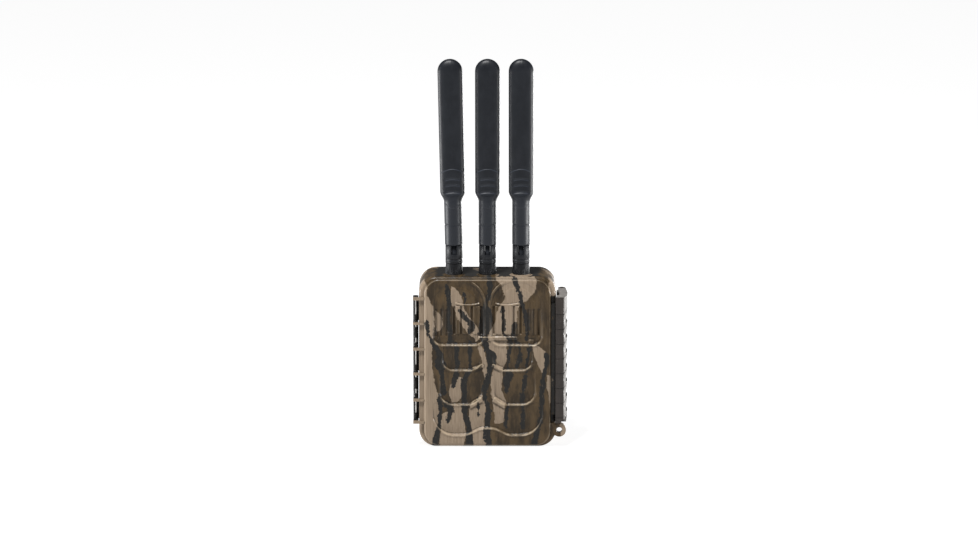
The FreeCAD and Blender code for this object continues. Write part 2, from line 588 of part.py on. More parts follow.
def light_pipes():
    low, high = BOARD_Y[1] + 2, BEZEL_Y[1] - 0.2
    return Part.makeCompound([rod((sx * 24.0, low, LENS_Z), Y_AXIS, 1.95, high - low) for sx in (-1, 1)])


def main_board():
    board = box((-48, 48), BOARD_Y, (8, 127))
    places = [(sx * 42.0, z) for sx in (-1, 1) for z in (14.0, 121.0)]
    return board.cut([rod((x, BOARD_Y[0] - 1, z), Y_AXIS, 1.2, 4) for x, z in places])


def modem_module():
    can = box((-15, 15), (10.6, BOARD_Y[0]), (84, 112))
    ports = [rod((x, 8.8, 108.0), Y_AXIS, 1.4, 2.0) for x in (-10.0, 0.0, 10.0)]
    return union(can, *ports)


def antenna_pigtails():
    """Thin coax from each jack down and across to the modem."""
    leads = []
    for jack_x, port_x in zip(ANTENNAS.values(), (-10.0, 0.0, 10.0)):
        leads.append(tube_along([(jack_x, ANTENNA_Y, 124), (jack_x, ANTENNA_Y, 120.6), (jack_x, -5.0, 120.6),
                                 (port_x, 3.0, 114.0), (port_x, 3.0, 108.0), (port_x, 8.8, 108.0)], 0.8, 2.2))
    return Part.makeCompound(leads)


# ---- control panel behind the door -------------------------------------------------------------------
BUTTONS = {"up": (0, 1), "down": (0, -1), "left": (-1, 0), "right": (1, 0), "ok": (0, 0)}


def button_place(name):
    dx, dz = BUTTONS[name]
    return PAD_X + dx * PAD_STEP, PAD_Z + dz * PAD_STEP


def control_fascia():
    z0, z1 = FASCIA_Z
    plate = slab(2 * FASCIA_HALF, z1 - z0, 3.0, FASCIA_Y, (0, (z0 + z1) / 2))
    cuts = [slab(DISPLAY_W - 3, DISPLAY_H - 3, 1.5, (-21, -16), (DISPLAY_X, DISPLAY_Z)),
            slab(DISPLAY_W + 2, DISPLAY_H + 2, 2.0, (-21, FASCIA_Y[0] + 0.8), (DISPLAY_X, DISPLAY_Z)),
            box((SWITCH_X - 2.2, SWITCH_X + 2.2), (-21, -16), (SWITCH_Z - 8, SWITCH_Z + 8)),
            box((-13.5, 13.5), (-21, -16), (77.6, 80.4)), box((17.5, 34.0), (-21, -16), (77.8, 79.6))]
    for name in BUTTONS:
        x, z = button_place(name)
        cuts.append(rod((x, -21, z), Y_AXIS, BUTTON_R + 0.25, 6))
    for sx in (-1, 1):
        cuts += [rod((sx * 47.6, -21, z), Y_AXIS, 1.3, 6) for z in (80.0, 116.0)]
    return plate.cut(cuts)


def display_window():
    span = (FASCIA_Y[0], FASCIA_Y[0] + 0.8)
    return slab(DISPLAY_W + 1.8, DISPLAY_H + 1.8, 1.9, span, (DISPLAY_X, DISPLAY_Z))


def display_panel():
    return box((DISPLAY_X - 24, DISPLAY_X + 24), (FASCIA_Y[1], FASCIA_Y[1] + 2.6),
               (DISPLAY_Z - 17.0, DISPLAY_Z + 17.5))


def control_board():
    return box((5.0, 44.0), (-12.6, -11.2), (84, 118))


def button(name):
    x, z = button_place(name)
    cap = rod((x, FASCIA_Y[0] - 1.4, z), Y_AXIS, BUTTON_R, 4.6)
    flange = rod((x, FASCIA_Y[1] + 0.1, z), Y_AXIS, BUTTON_R + 0.9, 1.0)
    cap = cap.makeFillet(0.5, edges_at(cap, lambda p: abs(p.y - FASCIA_Y[0] + 1.4) < 1e-6))
    return union(cap, flange)


def panel_switches():
    """A tact switch under each button, and the power switch's body."""
    made = []
    for name in BUTTONS:
        x, z = button_place(name)
        made.append(box((x - 2.2, x + 2.2), (-14.8 + BUTTON_TRAVEL, -12.6), (z - 2.2, z + 2.2)))
    made.append(box((SWITCH_X - 3.6, SWITCH_X + 3.6), (-15.4, -12.6), (SWITCH_Z - 9.5, SWITCH_Z + 9.5)))
    return Part.makeCompound(made)


def power_switch_knob():
    knob = box((SWITCH_X - 1.9, SWITCH_X + 1.9), (FASCIA_Y[0] - 1.6, -15.6), (SWITCH_Z - 2.6, SWITCH_Z + 2.6))
    skirt_y = (FASCIA_Y[1] + 0.1, -16.1)
    skirt = box((SWITCH_X - 3.4, SWITCH_X + 3.4), skirt_y, (SWITCH_Z - 4.0, SWITCH_Z + 4.0))
    grips = [box((SWITCH_X - 3, SWITCH_X + 3), (FASCIA_Y[0] - 2, FASCIA_Y[0] - 1.2), (z - 0.3, z + 0.3))
             for z in (SWITCH_Z - 1.2, SWITCH_Z, SWITCH_Z + 1.2)]
    return union(knob, skirt).cut(grips)


def sd_card():
    return box((-12, 12), (FASCIA_Y[0] - 2.0, -2.0), (77.95, 80.05))


def card_sockets():
    memory = box((-14.5, 14.5), (FASCIA_Y[1], 1.0), (76.4, 81.6))
    memory = memory.cut(box((-12.2, 12.2), (-20, 0.0), (77.7, 80.3)))
    sim = box((17.6, 34.0), (FASCIA_Y[1], -2.0), (76.8, 80.8))
    sim = sim.cut(box((19.2, 32.3), (-20, -3.5), (78.0, 79.4)))
    return Part.makeCompound([memory, sim])


def sim_card():
    return box((19.5, 32.0), (FASCIA_Y[0] - 1.2, -6.0), (78.3, 79.1))


def fasteners():
    """Four screws that hold the fascia, four that hold the main board, and the three jack nuts."""
    places = [(sx * 47.6, FASCIA_Y[0], z) for sx in (-1, 1) for z in (80.0, 116.0)]
    places += [(sx * 42.0, BOARD_Y[0], z) for sx in (-1, 1) for z in (14.0, 121.0)]
    made = [jack_nut(x) for x in ANTENNAS.values()]
    for x, y, z in places:
        head = rod((x, y - 1.3, z), Y_AXIS, 2.1, 1.3).cut(rod((x, y - 1.4, z), Y_AXIS, 0.9, 0.9))
        made.append(union(head, rod((x, y - 0.2, z), Y_AXIS, 1.15, 6.2)))
    return Part.makeCompound(made)


# ---- battery bay -------------------------------------------------------------------------------------
def cell_xs():
    return [(n - (CELL_COLUMNS - 1) / 2) * CELL_PITCH for n in range(CELL_COLUMNS)]


def battery_holder():
    half = CELL_COLUMNS * CELL_PITCH / 2 + 0.8
    block = box((-half, half), HOLDER_Y, HOLDER_Z)
    z = (HOLDER_Z[0] + 1.8, HOLDER_Z[1] - 1.8)
    cuts = [box((x - 7.3, x + 7.3), (HOLDER_Y[0] - 1, HOLDER_Y[1] - 0.6), z) for x in cell_xs()]
    return block.cut(cuts)


def cell_base():
    return (HOLDER_Z[0] + HOLDER_Z[1] - CELL_L) / 2 - 0.6


def battery_cells():
    cells = []
    for x in cell_xs():
        for y in CELL_ROWS:
            z = cell_base()
            button_end = rod((x, y, z + CELL_L - 0.1), Z_AXIS, 2.6, 1.3)
            cells.append(union(rod((x, y, z), Z_AXIS, CELL_R, CELL_L), button_end))
    return Part.makeCompound(cells)


def battery_contacts():
    """Per cell, a coil spring's outline under the flat end and a plate over the button end."""
    made = []
    for x in cell_xs():
        for y in CELL_ROWS:
            low = HOLDER_Z[0] + 1.8
            top = cell_base() + CELL_L + 1.2
            made.append(Part.makeCone(4.4, 2.6, cell_base() - low, V(x, y, low)))
            made.append(box((x - 5, x + 5), (y - 5, y + 5), (top, HOLDER_Z[1] - 1.8)))
    return Part.makeCompound(made)


# ---- power port in the base --------------------------------------------------------------------------
def dc_jack():
    block = box((DC_X - 5, DC_X + 5), (DC_Y - 4.4, DC_Y + 3), (5.0, 12.4))
    body = union(rod((DC_X, DC_Y, 1.5), Z_AXIS, 4.1, 4), block)
    return body.cut(rod((DC_X, DC_Y, 0), Z_AXIS, 2.8, 9))


def dc_port_plug():
    lid = box((DC_X - 7.6, DC_X + 7.6), (DC_Y - 4.6, DC_Y + 4.6), (0.3, 1.4))
    return union(lid, rod((DC_X, DC_Y, 1.0), Z_AXIS, 2.6, 4.0))


# ---- list of nodes -----------------------------------------------------------------------------------
def parts():
    made = {
        "front_housing": front_housing, "housing_rim": housing_rim, "pivot_pins": pivot_pins,
        "tripod_insert": tripod_insert, "rear_door": rear_door, "door_hinge_leaf": door_hinge_leaf,
        "door_gasket": door_gasket, "door_face_panel": door_face_panel, "latch_lever": latch_lever,
        "antenna_jacks": antenna_jacks, "antenna_seals": antenna_seals, "antenna_collars": antenna_collars,
        "front_bezel": front_bezel, "ir_window": ir_window, "ir_led_board": ir_led_board, "ir_leds": ir_leds,
        "lens_window": lens_window, "lens_holder": lens_holder, "lens_barrel": lens_barrel,
        "lens_glass": lens_glass, "ir_cut_filter": ir_cut_filter, "image_sensor": image_sensor,
        "pir_lens": pir_lens, "pir_sensor": pir_sensor, "light_pipes": light_pipes, "main_board": main_board,
        "modem_module": modem_module, "antenna_pigtails": antenna_pigtails,
        "control_fascia": control_fascia, "display_window": display_window, "display_panel": display_panel,
        "control_board": control_board, "panel_switches": panel_switches,
        "power_switch_knob": power_switch_knob, "sd_card": sd_card, "sim_card": sim_card,
        "card_sockets": card_sockets, "fasteners": fasteners,
        "battery_holder": battery_holder, "battery_cells": battery_cells,
        "battery_contacts": battery_contacts, "dc_jack": dc_jack, "dc_port_plug": dc_port_plug,
    }
    for name in BUTTONS:
        made["button_" + name] = lambda name=name: button(name)
    for side, x in ANTENNAS.items():
        made[f"antenna_{side}_base"] = lambda x=x: antenna_base(x)
        made[f"antenna_{side}_hinge_pin"] = lambda x=x: antenna_hinge_pin(x)
        made[f"antenna_{side}_whip"] = lambda x=x: antenna_whip(x)
        made[f"antenna_{side}_radiator"] = lambda x=x: antenna_radiator(x)
    return made


def main():
    os.makedirs("parts", exist_ok=True)
    for name, make in parts().items():
        shape = make()
        solids = shape.Solids
        if not solids or not all(s.isValid() and s.Volume > 0 for s in solids):
            raise ValueError(f"{name} is not made of sound solids")
        shape.exportStep(f"parts/{name}.step")
        print(f"{name}: {len(solids)} solid(s), {shape.Volume / 1000:.2f} cm3")


main()
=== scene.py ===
"""Looks for the trail camera: materials, the moulded door relief, whips, springs, dome, camera and light.

The scene is in metres in the CAD frame. Lengths in the mesh builders and the materials are in mm.
"""
import json
import math

import bpy
import numpy as np
from mathutils import Matrix, Vector


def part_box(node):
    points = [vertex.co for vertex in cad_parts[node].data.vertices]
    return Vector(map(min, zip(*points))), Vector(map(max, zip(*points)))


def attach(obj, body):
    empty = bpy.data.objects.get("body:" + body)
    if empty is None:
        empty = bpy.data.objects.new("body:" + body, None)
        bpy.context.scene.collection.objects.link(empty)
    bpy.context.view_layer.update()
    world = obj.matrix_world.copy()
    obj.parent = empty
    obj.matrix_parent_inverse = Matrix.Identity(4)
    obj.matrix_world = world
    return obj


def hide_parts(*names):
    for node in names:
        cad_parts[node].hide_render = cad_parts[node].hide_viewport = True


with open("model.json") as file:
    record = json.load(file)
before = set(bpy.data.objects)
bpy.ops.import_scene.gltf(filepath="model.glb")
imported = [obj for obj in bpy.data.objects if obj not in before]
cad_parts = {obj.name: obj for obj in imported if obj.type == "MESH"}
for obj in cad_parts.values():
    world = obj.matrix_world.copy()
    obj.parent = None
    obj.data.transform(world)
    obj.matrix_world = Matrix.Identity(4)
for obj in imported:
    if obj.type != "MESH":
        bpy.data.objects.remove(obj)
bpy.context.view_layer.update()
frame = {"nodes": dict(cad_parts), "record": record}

MM = 0.001
NODES = frame["nodes"]
HALF_PI = math.pi / 2


# ---- node graphs ---------------------------------------------------------------------------------------
class Graph:
    """A material's node tree. Arguments are numbers, colours or sockets; p, x, y and z are places in mm."""

    def __init__(self, name, color, rough=0.5, metal=0.0, **extra):
        self.material = bpy.data.materials.new(name)
        self.material.use_nodes = True
        self.tree = self.material.node_tree
        self.shader = self.tree.nodes["Principled BSDF"]
        self.set("Base Color", (*color, 1.0))
        self.set("Roughness", rough)
        self.set("Metallic", metal)
        for key, value in extra.items():
            self.set(key.replace("_", " "), value)
        place = self.tree.nodes.new("ShaderNodeTexCoord").outputs["Object"]
        self.p = self.vector("MULTIPLY", place, (1 / MM,) * 3)
        split = self.tree.nodes.new("ShaderNodeSeparateXYZ")
        self.put(split.inputs[0], self.p)
        self.x, self.y, self.z = split.outputs

    def put(self, socket, value):
        if isinstance(value, bpy.types.NodeSocket):
            self.tree.links.new(value, socket)
        else:
            socket.default_value = value

    def set(self, name, value):
        self.put(self.shader.inputs[name], value)

    def math(self, op, *args):
        node = self.tree.nodes.new("ShaderNodeMath")
        node.operation = op
        for socket, value in zip(node.inputs, args):
            self.put(socket, value)
        return node.outputs[0]

    def vector(self, op, *args):
        node = self.tree.nodes.new("ShaderNodeVectorMath")
        node.operation = op
        for socket, value in zip(node.inputs, args):
            self.put(socket, value)
        return node.outputs[0]

    def attribute(self, name):
        """A number that each vertex of the mesh carries, 0 on meshes without it."""
        node = self.tree.nodes.new("ShaderNodeAttribute")
        node.attribute_name = name
        return node.outputs["Fac"]

    def product(self, *factors):
        """All the factors multiplied together."""
        result = factors[0]
        for factor in factors[1:]:
            result = self.math("MULTIPLY", result, factor)
        return result

    def noise(self, size, detail=2.0, rough=0.5, shift=(0.0, 0.0, 0.0)):
        """Noise whose features are size mm across along X, Y and Z."""
        node = self.tree.nodes.new("ShaderNodeTexNoise")
        moved = self.vector("ADD", self.p, shift)
        self.put(node.inputs["Vector"], self.vector("DIVIDE", moved, size))
        node.inputs["Scale"].default_value = 1.0
        node.inputs["Detail"].default_value = detail
        node.inputs["Roughness"].default_value = rough
        return node.outputs["Fac"]

    def smooth(self, value, low, high):
        """0 up to low, 1 from high, smooth between. low may be above high."""
        node = self.tree.nodes.new("ShaderNodeMapRange")
        node.interpolation_type = "SMOOTHSTEP"
        if low > high:
            low, high, ends = high, low, (1.0, 0.0)
        else:
            ends = (0.0, 1.0)
        for socket, item in zip(node.inputs, (value, low, high, *ends)):
            self.put(socket, item)
        return node.outputs[0]

    def curve(self, value, points, reach=60.0, span=140.0):
        """A smooth curve through (input, output) points, inputs in 0..span and outputs in -reach..reach."""
        node = self.tree.nodes.new("ShaderNodeFloatCurve")
        handles = node.mapping.curves[0].points
        rows = sorted((a / span, b / (2 * reach) + 0.5) for a, b in points)
        handles[0].location, handles[1].location = rows[0], rows[-1]
        for row in rows[1:-1]:
            handles.new(*row)
        node.mapping.update()
        self.put(node.inputs["Value"], self.math("DIVIDE", value, span))
        return self.math("MULTIPLY_ADD", node.outputs[0], 2 * reach, -reach)

    def mix(self, factor, a, b):
        node = self.tree.nodes.new("ShaderNodeMix")
        node.data_type = "RGBA"
        for index, value in ((0, factor), (6, a), (7, b)):
            if not isinstance(value, bpy.types.NodeSocket) and index:
                value = (*value[:3], 1.0)
            self.put(node.inputs[index], value)
        return node.outputs[2]

    def blend(self, factor, low, high):
        """A number between low and high."""
        return self.math("MULTIPLY_ADD", factor, high - low, low)

    def bump(self, height, distance_mm, strength):
        node = self.tree.nodes.new("ShaderNodeBump")
        node.inputs["Strength"].default_value = strength
        node.inputs["Distance"].default_value = distance_mm * MM
        self.put(node.inputs["Height"], height)
        self.put(self.shader.inputs["Normal"], node.outputs[0])


def shade(color, factor):
    return tuple(c * factor for c in color)


ANTENNA_Y, ANTENNA_PITCH = -17.0, 26.1


# ---- camouflage ----------------------------------------------------------------------------------------
TAN, LIGHT_TAN = (0.150, 0.113, 0.079), (0.196, 0.150, 0.107)
BROWN, DARK_BROWN = (0.053, 0.0345, 0.0166), (0.021, 0.0142, 0.0078)
CHARCOAL = (0.0080, 0.0076, 0.0070)
# pale tan of painted highlight and rubbing on edges; near black of painted shade in hollows and under edges
SHEEN_AND_RUB_TAN, HOLLOW_SHADE = (0.270, 0.215, 0.150), (0.010, 0.007, 0.004)
SHEEN_AND_RUB, HOLLOW_SHADE_AMOUNT = 0.60, 0.55           # how strongly up-facing edges are painted pale, as painted highlight and some rubbing, and hollows and undersides dark, as painted shade
DOOR_FACE_FROM, DOOR_FACE_FULL = -8.0, -17.0          # y where the drawn pattern of the door side fades in
TOP_Z, RIM_BACK_Y = 134.0, -23.6      # the top face is above and behind these
TOP_DARK_HALF = 41.0                  # half width of the dark part of the top
BOSS_CLEAR_R = 8.6                    # radius left pale round each antenna
HINGE_SIDE_X, HINGE_SIDE_Y, HINGE_SIDE_Z = -53.0, -25.6, (18.0, 121.0)    # painted shade on the recess behind the hinge
LATCH_SIDE_X, LATCH_SIDE_Y, LATCH_SIDE_Z = 49.3, -21.0, (19.0, 120.5)     # painted shade on the gap beside the latch
PALE_BANDS = (  # pale patches on the door side, as rows of (z, left x, right x) from the top down, mm
    ((131, -59.0, -48.6), (121, -59.0, -47.0), (108, -59.0, -41.6), (86, -59.0, -42.6), (74, -59.0, -43.4),
     (50, -59.0, -41.2), (38, -59.0, -37.4), (22, -59.0, -37.6), (8, -55.0, -42.5), (0, -52.0, -44.0)),
    ((126, -28.5, -24.0), (118, -29.0, -19.6), (109, -25.8, -17.6), (99, -21.0, -10.0), (90, -14.5, -6.0),
     (86, -10.0, -6.5)),
    ((135, 6.0, 37.0), (130, 10.0, 38.0), (124, 12.0, 36.5), (117, 13.0, 30.5), (112, 9.0, 24.6),
     (100, 5.6, 22.4), (88, -0.5, 17.6), (80, -0.5, 14.8), (72, 6.0, 15.6), (62, 4.0, 12.6), (46, 3.0, 11.6),
     (36, 4.0, 14.6), (28, 5.0, 13.0), (21, 5.5, 12.6)),
    ((80, -7.0, -4.0), (70, -4.6, -1.0), (60, -3.2, 0.6), (54, -2.0, 0.4)),
    ((80, 36.0, 40.5), (74, 36.6, 46.4), (66, 38.8, 45.0), (58, 43.0, 44.6)),
    ((54, -24.0, -18.0), (50, -29.0, -21.0), (43, -30.0, -20.0), (38, -28.0, -21.5)),
    ((32, -27.0, -20.0), (25, -37.0, -19.0), (14, -37.0, -17.0), (1, -38.0, -19.4)),
    ((40, -6.6, -1.6), (34, -13.0, -1.0), (22, -14.6, -2.4), (12, -12.0, -1.6), (0, -11.6, 1.0)),
    ((56, 46.6, 49.5), (40, 47.4, 49.5), (36, 48.4, 49.5)),
    ((132, 48.0, 59.0), (122, 48.8, 59.0), (118, 50.0, 58.0)),
    ((107, -40.8, -38.0), (100, -41.0, -35.0), (94, -39.6, -36.4)),
    ((20, 56.6, 61.0), (12, 56.8, 61.8), (8, 57.2, 61.0)),
)
STREAKS = (  # charcoal streaks on the door side, as rows of (z, middle x, width) from the top down, mm
    ((136, 1.0, 3.4), (121, 1.2, 3.4), (114, -1.6, 4.0), (108, -1.4, 9.0), (95, -2.0, 9.6), (88, -3.0, 6.4),
     (80, -1.2, 4.6), (75, 2.4, 7.6), (69, 3.4, 7.0), (61, 1.6, 4.2), (50, -1.2, 4.6), (42, -2.2, 3.4),
     (30, 0.8, 4.4), (15, 0.0, 5.0), (0, 1.4, 4.2)),
    ((128, -31.6, 3.0), (117, -29.8, 3.2), (100, -30.2, 3.0), (86, -29.2, 4.0), (83, -29.4, 3.4)),
    ((122, -18.4, 1.8), (117, -17.6, 1.9), (114, -17.8, 1.6)),
    ((109, -21.6, 2.8), (103, -16.8, 4.6), (98, -12.6, 6.0), (92, -13.6, 3.4)),
    ((100, -47.4, 2.6), (88, -45.0, 3.2), (80, -40.0, 4.6), (74, -37.2, 5.2), (66, -36.8, 8.2),
     (60, -36.2, 4.0), (50, -34.6, 3.8), (43, -34.2, 3.4)),
    ((82, -24.6, 2.6), (70, -23.8, 3.2), (60, -24.2, 4.0), (53, -26.0, 4.2), (48, -26.6, 2.4)),
    ((84, -14.4, 2.8), (72, -13.6, 3.4), (62, -14.0, 3.6), (55, -17.4, 5.0), (40, -18.2, 4.2),
     (26, -17.4, 4.2), (14, -14.6, 4.6), (0, -14.4, 4.8)),
    ((38, -35.4, 2.6), (33, -30.2, 6.6), (27, -29.0, 4.6), (21, -30.4, 3.0)),
    ((42, -37.0, 2.4), (28, -37.0, 3.0), (14, -38.6, 3.8), (0, -41.6, 3.8)),
    ((39, -7.6, 1.1), (30, -7.2, 1.2), (25, -7.0, 0.9)),
    ((133, 21.2, 3.8), (124, 24.6, 3.4), (112, 27.6, 3.6), (100, 30.6, 3.8), (92, 30.8, 3.0),
     (86, 30.4, 2.6)),
    ((111, 11.6, 1.4), (104, 12.2, 2.4), (92, 12.4, 1.6)),
    ((90, 13.4, 2.6), (83, 17.8, 3.4), (74, 16.6, 2.6), (62, 15.8, 2.8), (57, 16.6, 7.4), (50, 14.6, 4.4),
     (44, 14.6, 2.2)),
    ((98, 21.0, 4.0), (90, 20.6, 3.2), (80, 24.4, 3.0), (72, 25.0, 3.4), (64, 23.0, 3.2)),
    ((81, 32.6, 2.6), (74, 32.0, 2.8), (60, 30.2, 2.4), (50, 28.6, 3.2), (40, 27.0, 3.2), (26, 27.8, 3.0),
     (16, 27.6, 2.6)),
    ((74, 45.6, 3.2), (66, 45.8, 3.4), (54, 43.2, 3.6), (34, 42.4, 3.8), (22, 41.6, 3.8), (12, 38.2, 3.8),
     (0, 36.0, 4.0)),
    ((34, 15.4, 2.4), (26, 15.0, 2.8), (16, 14.2, 2.2)),
)
END_REACH, END_PINCH = 2.5, 7.0       # how far past its last row a patch is pinched off, and by how much


def pinched(rows):
    """The rows with one more past each end, where the width is well below nothing."""
    (top, a, b), (low, c, d) = rows[0], rows[-1]
    return ((top + END_REACH, a, b - END_PINCH), *rows, (low - END_REACH, c, d - END_PINCH))


def band_distance(g, rows):
    """How far inside a pale band a point is, mm."""
    rows = pinched(rows)
    left = g.curve(g.z, [(z, a) for z, a, _ in rows])
    right = g.curve(g.z, [(z, b) for z, _, b in rows])
    return g.math("MINIMUM", g.math("SUBTRACT", g.x, left), g.math("SUBTRACT", right, g.x))


def streak_distance(g, rows):
    """How far inside a charcoal streak a point is, mm."""
    middle = g.curve(g.z, [(z, x) for z, x, _ in rows])
    width = g.curve(g.z, [(z, w) for z, _, w in pinched(rows)])
    aside = g.math("ABSOLUTE", g.math("SUBTRACT", g.x, middle))
    return g.math("SUBTRACT", g.math("MULTIPLY", width, 0.5), aside)


def deepest(g, distances):
    """The largest of several distances."""
    best = distances[0]
    for distance in distances[1:]:
        best = g.math("MAXIMUM", best, distance)
    return best


def top_shade(g, rag, patch):
    """The charcoal that covers the top face, except at its ends and round the antennas."""
    behind_rim = g.smooth(g.math("MULTIPLY_ADD", rag, 6.0, g.y), RIM_BACK_Y - 1.0, RIM_BACK_Y)
    half = ANTENNA_PITCH / 2
    aside = g.math("SUBTRACT", g.math("ABSOLUTE", g.x), half)
    aside = g.math("SUBTRACT", g.math("ABSOLUTE", aside), half)
    behind = g.math("SUBTRACT", g.y, ANTENNA_Y)
    from_antenna = g.math("SQRT", g.math("MULTIPLY_ADD", aside, aside, g.math("MULTIPLY", behind, behind)))
    off_boss = g.smooth(from_antenna, BOSS_CLEAR_R, BOSS_CLEAR_R + 0.8)
    corner = g.math("MULTIPLY_ADD", rag, 12.0, g.math("ABSOLUTE", g.x))
    inboard = g.smooth(corner, TOP_DARK_HALF, TOP_DARK_HALF - 1.5)
    on_top = g.product(g.smooth(g.z, TOP_Z, TOP_Z + 0.8), behind_rim, off_boss, inboard)
    return g.math("MULTIPLY", on_top, g.smooth(patch, 0.70, 0.62))


def side_shade(g, rag):
    """Painted shade: charcoal laid on the recesses behind the hinge and beside the latch, where shade falls.
    """
    low, high = HINGE_SIDE_Z
    in_hinge = g.product(g.smooth(g.x, HINGE_SIDE_X, HINGE_SIDE_X - 0.8),
                         g.smooth(g.y, HINGE_SIDE_Y, HINGE_SIDE_Y + 0.8),
                         g.smooth(g.z, high, high - 1.0), g.smooth(g.z, low, low + 1.0))
    low, high = LATCH_SIDE_Z
    beside_latch = g.product(g.smooth(g.x, LATCH_SIDE_X, LATCH_SIDE_X + 0.5),
                             g.smooth(g.z, high, high - 1.5), g.smooth(g.z, low, low + 2.0),
                             g.smooth(g.y, LATCH_SIDE_Y, LATCH_SIDE_Y - 1.5), g.smooth(rag, 0.16, 0.08))
    return g.math("MAXIMUM", in_hinge, beside_latch)


def camo(name, rough):
    """Bark-like camouflage: pale and brown patches under ragged charcoal streaks that run up and down."""
    g = Graph(name, BROWN, rough, Specular_IOR_Level=0.10, Coat_Weight=0.12, Coat_Roughness=0.22)
    rag = g.math("SUBTRACT", g.noise((3.6, 3.6, 6.2), 6.0, 0.62), 0.5)
    torn = g.math("SUBTRACT", g.noise((2.2, 2.2, 2.6), 4.0, 0.6, (5.0, 9.0, 3.0)), 0.5)
    fine = g.noise((1.0, 1.0, 2.2), 3.0, 0.6)
    grain = g.noise((0.8, 0.8, 24.0), 4.0, 0.65, (0.0, 5.0, 0.0))
    near_door = g.smooth(g.y, DOOR_FACE_FROM, DOOR_FACE_FULL)
    elsewhere = g.math("SUBTRACT", 1.0, near_door)

    def drawn_or_loose(drawn, loose):
        """The listed pattern on the door side and a free one on the rest, as distances in mm."""
        return g.math("ADD", g.math("MULTIPLY", drawn, near_door), g.math("MULTIPLY", loose, elsewhere))

    shore = g.math("ADD", g.math("MULTIPLY", rag, 5.0), g.math("MULTIPLY", torn, 1.6))
    drawn_pale = deepest(g, [band_distance(g, rows) for rows in PALE_BANDS])
    patch = g.noise((17.0, 17.0, 46.0), 2.0, 0.5, (3.0, 8.0, 21.0))
    loose_pale = g.math("MULTIPLY", g.math("SUBTRACT", patch, 0.54), 60.0)
    pale = g.smooth(g.math("ADD", drawn_or_loose(drawn_pale, loose_pale), shore), -0.35, 0.35)
    tan = g.mix(g.smooth(grain, 0.35, 0.68), TAN, LIGHT_TAN)
    brown = g.mix(g.smooth(g.noise((8.0, 8.0, 22.0), 4.0, 0.62), 0.36, 0.64), DARK_BROWN, BROWN)
    brown = g.mix(g.math("MULTIPLY", g.smooth(grain, 0.55, 0.75), 0.35), brown, shade(TAN, 0.55))
    color = g.mix(pale, brown, tan)

    jag = g.math("MULTIPLY_ADD", g.math("SUBTRACT", fine, 0.5), 1.4, g.math("MULTIPLY", rag, 6.0))
    jag = g.math("MULTIPLY_ADD", torn, 3.4, jag)
    drawn_dark = deepest(g, [streak_distance(g, rows) for rows in STREAKS])
    band = g.noise((13.0, 13.0, 62.0), 2.0, 0.5, (11.0, 2.0, 5.0))
    band = g.math("ABSOLUTE", g.math("SUBTRACT", band, 0.5))
    loose_dark = g.math("MULTIPLY", g.math("SUBTRACT", 0.022, band), 90.0)
    dark = g.smooth(g.math("ADD", drawn_or_loose(drawn_dark, loose_dark), jag), -0.25, 0.25)
    dark = g.math("MAXIMUM", dark, top_shade(g, rag, patch))
    # painted shade: charcoal where shade falls behind the hinge and beside the latch
    dark = g.math("MAXIMUM", dark, side_shade(g, rag))
    charcoal = g.mix(g.smooth(fine, 0.3, 0.7), CHARCOAL, shade(CHARCOAL, 1.6))
    color = g.mix(dark, color, charcoal)

    flecks = g.smooth(g.noise((0.8, 0.8, 5.0), 2.0, 0.5, (7.0, 0.0, 0.0)), 0.70, 0.76)
    color = g.mix(g.math("MULTIPLY", flecks, 0.35), color, TAN)
    # painted highlight and some rubbing on up-facing edges of the relief, painted shade in its hollows and
    # under its edges
    sheen_shade_rub = g.attribute("sheen_shade_rub")
    broken = g.smooth(g.noise((5.0, 5.0, 5.0), 4.0, 0.6, (1.0, 4.0, 9.0)), 0.34, 0.62)
    sheen_rub_mask = g.math("MULTIPLY", g.smooth(sheen_shade_rub, 0.05, 0.85), g.blend(broken, 0.35 * SHEEN_AND_RUB, 1.25 * SHEEN_AND_RUB))
    color = g.mix(sheen_rub_mask, color, SHEEN_AND_RUB_TAN)
    # painted shade in hollows and under edges
    color = g.mix(g.math("MULTIPLY", g.smooth(sheen_shade_rub, -0.05, -1.0), HOLLOW_SHADE_AMOUNT), color, HOLLOW_SHADE)
    g.set("Base Color", color)
    g.set("Roughness", g.blend(g.noise((7.0, 7.0, 7.0), 4.0, 0.6), rough - 0.09, rough + 0.11))
    skin = g.noise((0.35, 0.35, 0.35), 2.0, 0.5)
    g.bump(g.math("MULTIPLY_ADD", skin, 0.6, g.math("MULTIPLY", grain, 0.4)), 0.05, 0.5)
    return g.material


# ---- plain finishes ------------------------------------------------------------------------------------
def plastic(name, color, rough=0.5, grain=0.4, depth=0.03, tint=1.25, **extra):
    """Moulded plastic: a fine spark-eroded skin, faint uneven colour and glossier places polished by
    handling.
    """
    g = Graph(name, color, rough, **extra)
    cloud = g.noise((9.0, 9.0, 12.0), 4.0, 0.6)
    skin = g.noise((grain, grain, grain), 2.0, 0.6)
    tone = g.mix(g.smooth(cloud, 0.3, 0.7), shade(color, 1 / tint), shade(color, tint))
    tone = g.mix(g.math("MULTIPLY", g.smooth(skin, 0.62, 0.72), 0.25), tone, shade(color, tint * 1.5))
    g.set("Base Color", tone)
    g.set("Roughness", g.blend(cloud, rough - 0.10, rough + 0.10))
    g.bump(skin, depth, 0.6)
    return g.material


FLANK_X, LATCH_UPPER_END = 59.25, 119.2      # the latch is painted pale as a painted reflection beyond these, in x and in z
